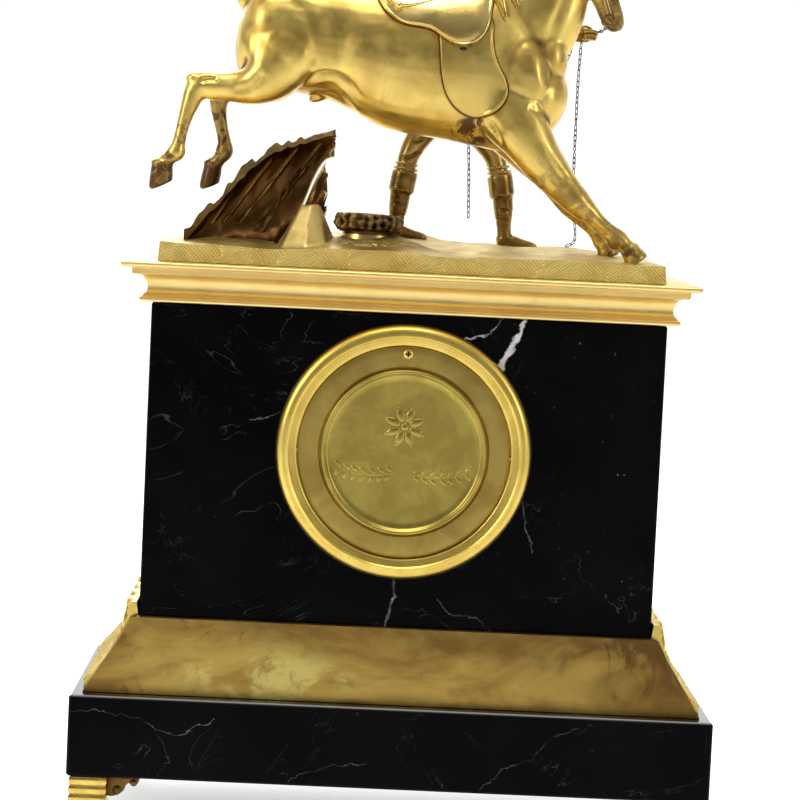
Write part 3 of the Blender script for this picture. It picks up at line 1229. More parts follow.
def make_bridle(skin):
    """Cheek straps, nose band, brow band and the bit with its rings."""
    bm = bmesh.new()
    for side in (1, -1):
        cheek = [(-72.5, side * 8.2, 481), (-78, side * 10.2, 470), (-86, side * 9.8, 456),
                 (-92, side * 7.8, 443), (-96.6, side * 6.8, 430)]
        line = []
        for x, out, z in stations(cheek, 5):
            hit = flank(skin, side, x, z)[0]
            line.append((x, hit.y / MM + side * 0.1 if hit else HORSE_Y + out, z, 1.4, 0.8))
        sleeve(bm, line, 8, per_span=1)
    for low, high in (((-90.6, 441), (-100.4, 445.6)), ((-72.6, 474.6), (-89.4, 478.4))):
        middle = Vector(((low[0] + high[0]) / 2, HORSE_Y, (low[1] + high[1]) / 2))
        across = Vector((high[0] - low[0], 0, high[1] - low[1])).normalized()
        loop = []
        for k in range(25):
            angle = TURN * k / 24
            way = across * math.cos(angle) + Vector((0, 1, 0)) * math.sin(angle)
            hit = skin.ray_cast((middle + way * 30) * MM, -way, 0.1)[0]
            loop.append((*((hit / MM if hit else middle + way * 8) + way * 0.1), 1.3, 0.8))
        for a, b in zip(loop, loop[1:]):
            sleeve(bm, [a, b], 8, per_span=1, hint=(Vector(a[:3]) - middle).normalized())
    finished("bridle", bm, "gilt_dark", 50, 2)
    bm = bmesh.new()
    for side in (1, -1):
        hoop_ring(bm, (-96.4, HORSE_Y + side * 7.2, 427.4), 2.6, 0.55, rotated(90, "X"))
        ball(bm, (-96.4, HORSE_Y + side * 7.2, 430.2), (0.9, 0.9, 0.9), rounds=2)
    settle(piece("bit_rings", bm, "dark_bronze", 50))


def hoop_ring(bm, centre, radius, wire, turn, stretch=1.0, steps=20, sides=8):
    """A round wire bent into a ring, or a link when it is stretched."""
    matrix = Matrix.Translation((radius, 0, 0)) @ Matrix.Rotation(math.pi / 2, 4, "X")
    made = bmesh.ops.create_circle(bm, segments=sides, radius=wire, matrix=matrix)["verts"]
    before = set(bm.verts) - set(made)
    bmesh.ops.spin(bm, geom=made + edges_of(made), cent=(0, 0, 0), axis=(0, 0, 1), angle=TURN, steps=steps,
                   use_merge=True)
    fresh = [v for v in bm.verts if v not in before]
    for vert in fresh:
        if stretch > 1:
            share = min(1, abs(vert.co.x) / (radius * 0.4))
            vert.co.x += math.copysign(radius * (stretch - 1), vert.co.x) * share
    bmesh.ops.transform(bm, verts=fresh, matrix=put(centre, turn))


# ---- saddle --------------------------------------------------------------------------------
# outlines on the flank, as (x, z)
FLAP = [(-8, 417), (-9, 409), (-10, 398), (-11.6, 390), (-14.4, 383), (-19.6, 377), (-27, 373.6), (-34, 374.2),
        (-40, 377.4), (-44, 382.6), (-45.2, 388), (-43.4, 394), (-40, 400), (-37.4, 406.4), (-36, 414), (-35, 424),
        (-24, 432), (-12, 428)]
SADDLE_SKIRT = [(27, 440), (24.6, 433.4), (20.4, 426.4), (14.6, 421.4), (8, 418.8), (1, 418), (-5, 416.6),
                (-10.4, 413), (-15.8, 410.4), (-21.4, 409.8), (-27, 411.4), (-31.4, 415.4), (-34, 421.4), (-35, 429),
                (-34.6, 437), (-22, 446), (0, 446), (16, 444)]


def outline(edge):
    """A smooth closed curve through the corners of an outline."""
    return np.array(stations([*edge, edge[0]], 6))


def soil_along(obj, routes, wide, amount):
    """Adds dark to the hollows of a mesh along closed routes of (x, z) in mm."""
    place = vectors(obj.data.vertices, "co")[:, [0, 2]] / MM
    kept = obj.data.attributes["hollow"].data
    values = np.empty(len(place), np.float32)
    kept.foreach_get("value", values)
    for route in routes:
        path = outline(route)
        best = np.full(len(place), 1e9)
        for a, b in zip(path, path[1:]):
            t = np.clip(((place - a) @ (b - a)) / max((b - a) @ (b - a), 1e-9), 0, 1)
            best = np.minimum(best, ((place - a - t[:, None] * (b - a)) ** 2).sum(1))
        values = np.maximum(values, amount * np.exp(-best / wide ** 2))
    kept.foreach_set("value", values.astype(np.float32))


def make_saddle(skin, horse):
    """Flaps, skirts and a deep seat, laid over the horse's back."""
    def panel(name, edge, thick, side, finish_key, crown=0.0):
        """A shaped leather: rings shrinking from the edge to its middle, laid on the flank."""
        path = outline(edge)[:-1]
        middle = path.mean(0)
        rings = [(1.0, -1.6), (1.0, thick * 0.35), (0.995, thick * 0.75), (0.975, thick), (0.95, thick * 1.02),
                 (0.935, thick * 0.86), (0.92, thick * 0.86), (0.9, thick)]
        rings += [(share, thick * (1 + crown * (1 - share))) for share in (0.8, 0.65, 0.5, 0.35, 0.2, 0.08)]
        bm = bmesh.new()
        hoops = []
        for scale, lift in rings:
            made = bmesh.ops.create_circle(bm, segments=len(path), radius=1)["verts"]
            for vert, at in zip(made, path):
                x, z = middle + (at - middle) * scale
                for drop in range(24):
                    hit, out = flank(skin, side, x, z - drop)
                    if hit and (hit.y / MM - HORSE_Y) * side > 9:
                        break
                vert.co = hit + (out * 0.5 + Vector((0, side, 0)) * 0.5).normalized() * lift * MM
            hoops.append(edges_of(made))
        stacked(bm, hoops)
        for _ in range(3):
            bmesh.ops.smooth_vert(bm, verts=bm.verts, factor=0.4, use_axis_x=True, use_axis_y=True,
                                  use_axis_z=True)
        return mark_hollows(piece(name, bm, finish_key, 50), 3)

    soil_along(horse, (FLAP, SADDLE_SKIRT), 0.75, 0.8)
    for side, tag in ((1, "near"), (-1, "far")):
        flap = panel("saddle_flap_" + tag, FLAP, 1.9, side, "flap_gilt")
        soil_along(flap, (SADDLE_SKIRT,), 0.8, 0.7)
        settle(flap, "case", "saddle" if side > 0 else None)
        settle(panel("saddle_skirt_" + tag, SADDLE_SKIRT, 3.2, side, "saddle_gilt", 0.5))
        bm = bmesh.new()
        hit = flank(skin, side, -20.7, 408)[0]
        ball(bm, (-20.7, hit.y / MM + side * 1.7, 408), (2.3, 0.5, 1.0))
        settle(piece("stirrup_slot_" + tag, bm, "ink", 50))

    def seat(u, v):
        """u runs from pommel to cantle, v over the back from far to near, then back beneath."""
        x = -36 + 64 * u
        under = 0.8 < v < 0.9999
        share = (1 - (v - 0.8) / 0.2) if v > 0.8 else v / 0.8
        angle = math.radians(-62 + 124 * share)
        dip = 446.5 + 5.5 * ease((0.3 - u) / 0.3) ** 1.2 + 8.5 * ease((u - 0.55) / 0.45) - math.sin(u * math.pi)
        width = 11 + 6.5 * ease((u - 0.1) / 0.7) - 2 * ease((u - 0.9) / 0.1)
        drop = 20 - 4 * ease((u - 0.5) / 0.5)
        y = HORSE_Y + width * math.sin(angle) * (0.96 if under else 1)
        roll = 1.3 * math.exp(-((abs(share - 0.5) - 0.44) / 0.05) ** 2)
        roll += 1.5 * math.exp(-((u - 0.96) / 0.035) ** 2)
        return (x, y, dip - drop * (1 - math.cos(angle)) * 1.15 + (-3.0 if under else roll))
    bm = bmesh.new()
    mapped(bm, 70, 90, seat, caps=True)
    finished("saddle_seat", bm, "saddle_gilt", 60, 4)
    bm = bmesh.new()
    for side in (1, -1):
        edge = ((27, 17, 447), (22, 21, 436.6), (15, 23.4, 429.6), (4, 22.8, 429.8), (-8, 20, 433.6),
                (-20, 16.4, 438), (-30, 12, 443))
        sleeve(bm, [(x, HORSE_Y + side * out, z, 0.9, 0.9) for x, out, z in edge], 10, per_span=6)
        ball(bm, (13, HORSE_Y + side * 24.4, 428.6), (1.9, 1.6, 1.9))
    settle(piece("saddle_piping", bm, "saddle_gilt", 50))


# ---- groom ---------------------------------------------------------------------------------
# Stops are x, y, z, half depth and half width.
GROOM_TORSO = [(-18, -24, 376, 7.4, 9), (-19, -24, 382, 9, 11), (-21, -24, 390, 7.9, 10), (-22.4, -24, 396, 7.3, 9.4),
               (-25, -24, 404, 8.6, 11.6), (-28, -24, 412.6, 9.2, 13), (-30, -24, 419, 8.2, 13.4),
               (-31.4, -24, 424, 5.4, 9.4), (-32.6, -24, 427.6, 3.8, 4.6), (-33.5, -24, 433, 3.5, 3.7)]
FRONT_THIGH = [(-19, -28, 382, 8, 6.8), (-29, -29, 371, 8, 6.8), (-37.4, -29, 362.4, 6.8, 6.2), (-43, -29, 354.4, 5.7, 5.5),
               (-45.4, -29, 347.6, 5.4, 5.2), (-46.6, -29, 343, 5, 5)]
FRONT_BOOT = [(-46.4, -29, 344.6, 6.7, 6.5), (-47, -29, 342, 6.9, 6.7), (-48, -29, 336, 6.8, 6.5), (-48.6, -29, 333.2, 6.9, 6.6),
              (-48.8, -29, 332.6, 5.6, 5.5), (-49.6, -29, 325, 5.2, 5.0), (-50.2, -29, 317, 4.0, 3.9),
              (-50.8, -29, 312, 3.9, 3.7), (-51.8, -29, 308, 4.8, 4.2), (-52.2, -29, 305.4, 5, 4.2)]
FRONT_SHOE = [(-46.8, -29, 307.6, 3.4, 3.4), (-53, -29, 308.6, 4.2, 4.2), (-60, -29, 307.6, 3, 3.8), (-66, -29, 306.8, 2.2, 2.9),
              (-68.6, -29, 306.6, 1, 1.4)]
REAR_THIGH = [(-18, -20, 382, 8, 6.8), (-8, -19.5, 371, 7.8, 6.8), (-1, -19, 361.4, 6.8, 6.2), (3, -19, 352.6, 5.7, 5.5),
              (4.2, -19, 347, 5.3, 5.2), (4.8, -19, 342.6, 5, 5)]
REAR_BOOT = [(4.6, -19, 344.2, 6.7, 6.5), (5, -19, 341.6, 6.9, 6.7), (6, -19, 336, 6.8, 6.5), (6.4, -19, 333.4, 6.9, 6.6),
             (6.6, -19, 332.8, 5.6, 5.5), (7.4, -19, 325, 5.2, 5.0), (8.2, -19, 317.4, 4, 3.9), (8.4, -19, 314, 3.9, 3.7),
             (8.2, -19, 310.4, 4.8, 4.2), (7.8, -19, 307.6, 5, 4.2)]
REAR_SHOE = [(12, -19, 310, 3.4, 3.4), (6.6, -19, 311, 4.2, 4.2), (-0.6, -19, 310, 3, 3.8), (-6.4, -19, 309.2, 2.2, 2.9),
             (-8.6, -19, 309, 1, 1.4)]
COAT = [(-21.4, -24, 394, 8.6, 10.8), (-20, -24, 386, 9.8, 12), (-17.4, -24, 379, 11.4, 13),
        (-15, -24, 371.6, 12.8, 14)]
REACHING_ARM = [(-28, -16, 419.6, 5.6, 4.8), (-38, -12, 420.2, 5.4, 4.9), (-49, -8.8, 418, 4.8, 4.5),
                (-60, -7, 416.8, 4.5, 4.3), (-71, -4.8, 417.8, 4.2, 4.0), (-76.6, -3.6, 419, 4.3, 4.1)]
REACHING_HAND = [(-76, -3.8, 418.8, 2.8, 3), (-80.6, -3, 419.6, 3.1, 3), (-84, -2.3, 420.4, 4.2, 3.6),
                 (-87.6, -1.5, 421.2, 4.6, 3.9), (-90.6, -1, 421.6, 2.8, 2.6)]
LOW_ARM = [(-29.4, -33, 420.6, 5.2, 4.8), (-28, -37, 413, 5.3, 4.8), (-26, -40, 402, 4.8, 4.5), (-25.2, -40.6, 391, 4.5, 4.3),
           (-26.4, -39, 381, 4.2, 4.0), (-27.2, -38, 376, 4.3, 4.1)]
LOW_HAND = [(-27.2, -38, 376.6, 2.6, 2.8), (-28, -37, 372, 2.7, 2.6), (-28.6, -36.4, 368.6, 3.2, 3.1),
            (-29, -36, 364.4, 3.5, 3.3), (-29, -36, 361.8, 2.2, 2.2)]
HEAD_AT = Vector((-35.4, -24, 441.4))


def make_groom():
    """The groom in jacket, breeches and top boots, leaning back against the pull."""
    bm = bmesh.new()
    sleeve(bm, GROOM_TORSO, 28)
    for part in (FRONT_THIGH, REAR_THIGH, REACHING_ARM, LOW_ARM):
        sleeve(bm, part, 18)
    sleeve(bm, COAT, 30)
    groom = fused("groom_clothes", bm, 0.75, "gilt_dark", 4)
    clay = Clay(groom)
    for k in range(7):
        turn = k * 0.9 + 0.3
        clay.line([(-21 + 9 * math.cos(turn), -24 + 11 * math.sin(turn), 393),
                   (-17 + 13 * math.cos(turn + 0.15), -24 + 14 * math.sin(turn + 0.15), 372)], 1.3, -0.9)
    for stops in (REACHING_ARM, LOW_ARM):
        for a, b in zip(stops[1:], stops[2:]):
            middle = (Vector(a[:3]) + Vector(b[:3])) / 2
            crease = (Vector((-3, 4, 3)), Vector((1, 5, -3)))
            clay.line([middle + step for step in crease], 0.9, -0.7)
    for x, z in ((-28, 372), (-34, 366), (-39, 360), (-43.6, 353), (-7, 370), (-2, 362), (2, 353)):
        for face in (1, -1):
            crease = ((-6, 7, 2), (0, 11, -1), (6, 7, -2))
            clay.line([(x + dx, -24 + face * dy, z + dz) for dx, dy, dz in crease], 0.9, -0.8)
    clay.line([(-30.8, -30, 427), (-37, -24, 424), (-40, -24, 414), (-36, -24, 398)], 1.0, -0.7)
    clay.settle(1)
    settle(mark_hollows(groom, 10), "case", "groom")

    bm = bmesh.new()
    for part in (FRONT_BOOT, REAR_BOOT):
        sleeve(bm, part, 22, per_span=3)
    for part in (FRONT_SHOE, REAR_SHOE):
        sleeve(bm, part, 18)
    boots = fused("top_boots", bm, 0.6, "gilt_dark", 2)
    clay = Clay(boots)
    for x, y, z in ((-50.2, -29, 316), (8.2, -19, 317)):
        for lift, deep in ((0, -0.6), (-3.4, -0.7), (3.6, -0.5), (9, -0.4)):
            ring = [(x + 5 * math.cos(k * TURN / 10), y + 5 * math.sin(k * TURN / 10), z + lift + 0.8 * math.sin(k))
                    for k in range(11)]
            clay.line(ring, 0.6, deep, fade=False)
    clay.settle()
    settle(mark_hollows(boots, 6))

    bm = bmesh.new()
    for at, radius, wire, tilt, steps in (
            ((-45.6, -29, 348.4), 5.7, 0.8, 8, 28), ((-46.2, -29, 345.8), 6, 0.8, 8, 28),
            ((4.3, -19, 348), 5.7, 0.8, -8, 28), ((4.6, -19, 345.4), 6, 0.8, -8, 28),
            ((-76.2, -3.7, 418.9), 4.2, 0.9, 84, 30), ((-27.2, -38, 376), 4.2, 0.9, 8, 30),
            ((-33.2, -24, 430), 4.4, 0.9, 10, 30), ((-21.8, -24, 394.4), 9.6, 0.9, 6, 30)):
        hoop_ring(bm, at, radius, wire, rotated(tilt, "Y"), steps=steps)
    finished("bands_and_cuffs", bm, "gilt_dark", 60, 2)
    make_hands()
    make_head()


# for each hand: its sleeve, the first knuckle from the grip, the step to the next knuckle, how a finger
# bends from its knuckle, and where the thumb starts
HANDS = [(REACHING_HAND, (1.4, 2.6, 1.9), -1.9, [(0, 0, 0), (-0.4, 2.0, -1.6), (0, 1.0, -3.8), (0.3, -1.6, -4.6)],
          (3.2, -1.4, 2.6)),
         (LOW_HAND, (1.7, 2.4, 1.4), -1.15, [(0, 0, 0), (-0.6, 0.9, -2.0), (-1.0, -0.6, -3.6), (-0.7, -2.2, -3.9)],
          (-2.4, -1.4, 2))]
THUMB = [((0, 0, 0), 1.2, 1.1), ((-2.4, -0.8, 0.4), 1.15, 1.05), ((-5, 0.2, -0.4), 0.9, 0.9)]


def make_hands():
    """Two closed hands, each with four fingers and a thumb."""
    bm = bmesh.new()
    for palm, knuckle, step, bends, thumb in HANDS:
        sleeve(bm, palm, 16)
        grip = Vector(palm[3][:3])
        for k in range(4):
            root = grip + Vector(knuckle) + Vector((k * step, 0, -abs(k - 1.4) * 0.3))
            sleeve(bm, [(*(root + Vector(bend)), 1.0, 0.95) for bend in bends], 10)
        root = grip + Vector(thumb)
        sleeve(bm, [(*(root + Vector(bend)), deep, wide) for bend, deep, wide in THUMB], 10)
    hands = fused("groom_hands", bm, 0.45, "gilt_dark", 2)
    settle(mark_hollows(hands, 5))


def make_head():
    """A calm, plain head with the brow, nose, mouth and chin a third of the face apart."""
    turn = rotated(6, "Y")

    def at(forward, side, up):
        return HEAD_AT + turn @ Vector((-forward, side, up))
    bm = bmesh.new()
    ball(bm, at(-1.0, 0, 3.2), (8.0, 6.5, 7.6))
    ball(bm, at(2.2, 0, -2.6), (5.2, 4.9, 7.0))
    sleeve(bm, [(*at(-1.5, 0, -14), 4, 4.2), (*at(-1.8, 0, -8), 3.7, 3.8), (*at(-1.4, 0, -3), 4.2, 4.4)], 18)
    for side in (1, -1):
        ball(bm, at(-0.8, side * 6.3, 0.2), (1.7, 0.9, 2.4))
    head = fused("groom_head", bm, 0.4, "gilt_dark", 3)
    clay = Clay(head)
    ahead = turn @ Vector((-1, 0, 0))
    brow = [(7.2, 0, 3.4, (2, 4.6, 0.9), 0.5)]
    nose = [(7.4, 0, 1.6 - k * 0.9, (1.6, 0.75 + 0.13 * k, 1.0), 0.35 + 0.25 * k) for k in range(5)]
    sides = [(forward, side * out, up, reach, by) for side in (1, -1) for forward, out, up, reach, by in (
        (6.6, 2.5, 1.9, (2, 1.5, 1.1), -0.8), (6.6, 2.5, 1.7, (2, 1.1, 0.6), 0.75),
        (7.2, 1.1, -2.3, (1.4, 0.6, 0.6), 0.45), (5.6, 3.6, -1.2, (2, 1.6, 1.6), 0.4))]
    mouth = [(7, 0, -3.9, (1.6, 2.0, 0.5), 0.45), (7, 0, -4.5, (1.6, 2.4, 0.28), -0.5),
             (7, 0, -5.1, (1.6, 1.7, 0.5), 0.5), (7, 0, -6.1, (1.6, 1.8, 0.5), -0.35)]
    chin = [(6.6, 0, -7.6, (1.8, 1.8, 1.2), 0.8)]
    for forward, out, up, reach, by in brow + nose + sides + mouth + chin:
        clay.swell(at(forward, out, up), reach, by, ahead)
    clay.settle()
    settle(mark_hollows(head, 6))
    bm = bmesh.new()
    ball(bm, at(-1.6, 0, 5.4), (8.5, 7.1, 6.6))
    for k in range(26):
        angle = -2.2 + 4.4 * k / 25
        for row, (up, thick) in enumerate(((4.6, 1.7), (1.4, 1.6), (-1.6, 1.4))):
            wave = wander.noise(Vector((k, row, 0)))
            away = 7.9 if row == 0 else 7.2 - row * 0.5
            if row and abs(angle) > 1.65:
                continue
            spot = at(-1.6 - away * math.cos(angle), away * 0.82 * math.sin(angle), up + wave)
            ball(bm, spot, (thick, thick * 0.8, thick * 1.2), rounds=2)
    for k in range(9):
        ball(bm, at(5.0, (k - 4) * 1.25, 6.4 + 0.5 * math.sin(k * 2.1)), (1.5, 1.0, 1.3), rounds=2)
    hair = fused("groom_hair", bm, 0.45, "gilt_dark", 1)
    settle(mark_hollows(hair, 5))


# ---- chains --------------------------------------------------------------------------------
LONG_CHAIN = [(-85, -1.6, 416), (-84.4, -1.4, 400), (-84.3, -1.2, 380), (-84.6, -1.2, 346), (-86.2, -1.2, 324),
              (-87, -1.2, 314), (-86, -1.2, 310.4), (-83.4, -1.4, 308.8)]
LEAD_CHAIN = [(-80.4, -4.4, 414.6), (-77, -8, 404), (-68, -17, 389), (-54, -28, 375), (-42, -34.5, 367.6),
              (-33.4, -36, 364.4)]
SHORT_CHAIN = [(-90.4, -0.6, 422.4), (-93.4, 1.2, 422.2), (-96, 8, 423.2), (-96.6, 14.4, 425.4)]
CHAIN_END = [(-29.2, -36, 361), (-30, -36, 348), (-30.6, -36, 334), (-31, -36, 321.6)]


LINK_PITCH, LINK_RADIUS, LINK_WIRE, LINK_STRETCH = 2.9, 0.74, 0.32, 2.15


def make_chain(name, stops, body, node):
    """Small round-wire links, each a quarter turn from the last."""
    seed = bmesh.new()
    hoop_ring(seed, (0, 0, 0), LINK_RADIUS, LINK_WIRE, Matrix.Identity(4), LINK_STRETCH, steps=10, sides=4)
    link = bpy.data.meshes.new("link")
    seed.to_mesh(link)
    seed.free()
    path = stations(stops, 40)
    bm = bmesh.new()
    walked, count = 0.0, 0
    for a, b in zip(path, path[1:]):
        walked += float(np.linalg.norm(b - a))
        if walked < (count + 0.5) * LINK_PITCH:
            continue
        line = Vector(b - a).normalized()
        side = line.cross(Vector((0.3, 1, 0.1))).normalized()
        turn = Matrix((line, side, line.cross(side))).transposed().to_4x4()
        spin_by = rotated(90 * (count % 2) + 35 + 9 * math.sin(count * 1.9), "X")
        first = len(bm.verts)
        bm.from_mesh(link)
        bm.verts.ensure_lookup_table()
        bmesh.ops.transform(bm, verts=bm.verts[first:], matrix=Matrix.Translation(Vector(a) * MM) @ turn @ spin_by)
        count += 1
    bpy.data.meshes.remove(link)
    settle(piece(name, bm, "dark_bronze", 80, outward=False), body, node)


# ---- rear ring and cover -------------------------------------------------------------------
def rosette(name, centre, radius, petals, y, finish_key):
    """A flower of rounded petals in low relief."""
    bm = bmesh.new()
    for k in range(petals):
        angle = TURN * (k + 0.5) / petals
        for reach, long, wide, high in ((0.56, 0.34, 0.20, 0.9), (0.86, 0.13, 0.10, 0.6)):
            out = radius * reach
            at = (centre[0] + out * math.cos(angle), y, centre[1] + out * math.sin(angle))
            ball(bm, at, (radius * long, high, radius * wide), Matrix.Rotation(-angle, 4, "Y"))
    ball(bm, (centre[0], y, centre[1]), (radius * 0.2, 1.1, radius * 0.2))
    return piece(name, bm, finish_key, 60)


def make_rear():
    """Ring, cover and medallion, with a flower and two sprays in relief."""
    face = RING_HIGH.y
    profile = [(65.4, 63.8), *bow(60.6, 67.9, 4.85, 2, 88, 16), (60.2, face - 0.25), (59.6, face), (59.1, face - 0.25),
               (58.6, face - 0.9), (57, face - 1.2), (55.6, face - 1.3), (55.0, face - 1.7), (54.9, face - 2.4),
               (54.9, 65.5), (50.9, 65.5), (50.9, 50), (53.2, 50), (53.2, 63.8)]
    settle(turned("rear_ring_turned", profile, "ring_gilt", steps=180), "case", "rear_ring")
    bm = bmesh.new()
    for side in (1, -1):
        low, high = sorted((side * 54.2, side * 55.2))
        block(bm, (low, 67.6, DIAL_Z - 1.4), (high, 70.6, DIAL_Z - 0.2))
    settle(piece("cover_lugs", bm, "ring_gilt"))
    profile = [(54.4, 65.8), *bow(53.8, 67.6, 0.6, 0, 90, 4), (50, 68.25), (46, 68.2), (43.9, 68.15), (43.3, 67.7),
               (43.2, 66.8), (38, 66.8), (38, 65.8)]
    settle(turned("cover_plate", profile, "cover_gilt", steps=160), "rear_cover", "rear_cover")
    profile = [(0, 69.35), (20, 69.4), (36, 69.4), (38.8, 69.5), (39.6, 69.9), (40.1, 70.7),
               *bow(41.3, 70.4, 1.05, 150, 20, 8), (42.7, 69.6), (42.7, 67.1), (0, 67.1)]
    settle(turned("medallion", profile, "field_gilt", steps=160), "rear_cover", "rear_medallion")
    flower = rosette("medallion_rosette", (0, DIAL_Z + 13), 11, 8, 69.35, "field_gilt")
    settle(mark_hollows(flower, 3), "rear_cover")
    bm = bmesh.new()
    for side in (1, -1):
        stem = [(side * x, 69.4, DIAL_Z - down) for x, down in ((4, 11), (14, 12.4), (24, 11.6), (33, 9))]
        sleeve(bm, [(*stop, 0.45, 0.45) for stop in stem], 8)
        path = stations(stem, 10)
        for k in range(7):
            at = Vector(path[int(2 + k / 6 * 26)])
            for lean in (1, -1):
                turn = rotated(-side * 42 * lean + (0 if side > 0 else 180), "Y")
                ball(bm, at + Vector((side * 1.7, 0.05, lean * 2.2)), (2.7, 0.6, 1.0), turn, 2)
    finished("medallion_sprays", bm, "field_gilt", 60, 3, "rear_cover")
    make_screw()


def make_screw():
    """The cover's screw, its cross slot cut into a domed head."""
    low, high = (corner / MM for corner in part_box("cover_screw"))
    centre = Vector(((low.x + high.x) / 2, 0, (low.z + high.z) / 2))
    top = high.y
    profile = [(0, top), (1.0, top - 0.02), (1.9, top - 0.22), (2.45, top - 0.6), (2.7, top - 1.1),
               (2.7, top - 1.5), (1.3, top - 1.5), (1.3, low.y + 0.5), (0.9, low.y), (0, low.y)]
    screw = turned("cover_screw_head", profile, "ring_gilt", centre, 40)
    bm = bmesh.new()
    for wide, tall in ((1.5, 0.42), (0.42, 1.5)):
        block(bm, centre + Vector((-wide, top - 0.9, -tall)), centre + Vector((wide, top + 0.4, tall)))
    cross = piece("cross_slot", bm, ())
    cut = screw.modifiers.new("slot", "BOOLEAN")
    cut.object = cross
    cut.solver = "EXACT"
    cut.use_self = True
    baked(screw)
    bpy.data.objects.remove(cross, do_unlink=True)
    for face in screw.data.polygons:
        away = face.center / MM - centre
        in_slot = 0.35 < top - away.y < 1.2 and max(abs(away.x), abs(away.z)) < 1.6
        face.material_index = int(in_slot)
    screw.data.materials.append(FINISH["ink"])
    settle(screw, "cover_screw", "cover_screw")


# ---- dial side -----------------------------------------------------------------------------
DOOR_BEADS = 96


def make_dial_side():
    """The glazed door with its beaded rim and hinge, and the surround it shuts against."""
    ring_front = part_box("door_ring")[0].y / MM
    profile = [(60.4, -52.2), (61, -53.4), (60.9, -54.6), *[(59.6 - 0.35 * k, -55.4 - 0.55 * k) for k in range(4)],
               (57.6, -57.9), (56.2, -58.7), (55, ring_front), (53.8, -58.6), (53, -57.8), (52.4, -57.7), (51.4, -57.5),
               (50.8, -57), (50.6, -56.4), (50.6, -55.4), (53.4, -55.2), (53.4, -52.2)]
    settle(turned("door_ring_turned", profile, "ring_gilt", steps=160), "dial_door", "door_ring")
    bm = bmesh.new()
    for k in range(DOOR_BEADS):
        angle = TURN * k / DOOR_BEADS
        ball(bm, (52.4 * math.cos(angle), -57.5, DIAL_Z + 52.4 * math.sin(angle)), (0.85, 0.75, 0.85), rounds=1)
    settle(piece("door_beads", bm, "gilt", 80), "dial_door")
    low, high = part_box("hinge_pin")
    axis = (low + high) / 2 / MM
    leaf = bmesh.new()
    rounded(leaf, edges_of(block(leaf, (58.8, -56.2, DIAL_Z - 5.6), (axis.x - 1.1, -53, DIAL_Z + 5.6))), 0.5)
    settle(piece("door_hinge_leaf", leaf, "gilt", 40), "dial_door")
    profile = [(2, -5.8), (2.1, -5.2), (2.1, 5.2), (2, 5.8), (1.05, 5.8), (1.05, -5.8)]
    settle(turned("door_knuckle", profile, "gilt", axis, 32, "Z"), "dial_door")
    glass = [(0, -57.6), *[(r, -57.6 + 2.7 * (r / 52) ** 2) for r in (12, 22, 32, 42, 50)], (52.9, -54.7), (52.9, -53.4)]
    glass += [(r, -56.3 + 2.7 * (r / 52) ** 2) for r in (50, 42, 32, 22, 12)] + [(0, -56.3)]
    settle(turned("door_glass_domed", glass, "glass", steps=96, smooth=50), "dial_door", "door_glass")
    profile = [(61.5, -47.8), (61.5, -50.4), (60.9, -51.4), (59.6, -51.9), (51.6, -51.9), (51, -51.4), (51, -30),
               (53.2, -30), (53.2, -47.8)]
    settle(turned("dial_surround_turned", profile, "ring_gilt", steps=144), "case", "dial_surround")
    make_dial_marks()


def dial_front(radius):
    """Y of the dial's face, which is a very shallow cone."""
    low, high = (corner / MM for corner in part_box("dial"))
    return low.y + radius / high.x


STROKE_WIDTHS = {"I": 2.2, "V": 5.2, "X": 5.2}
HOURS = ["XII", "I", "II", "III", "IIII", "V", "VI", "VII", "VIII", "IX", "X", "XI"]
TALL, FOOT = 7.4, 36.6


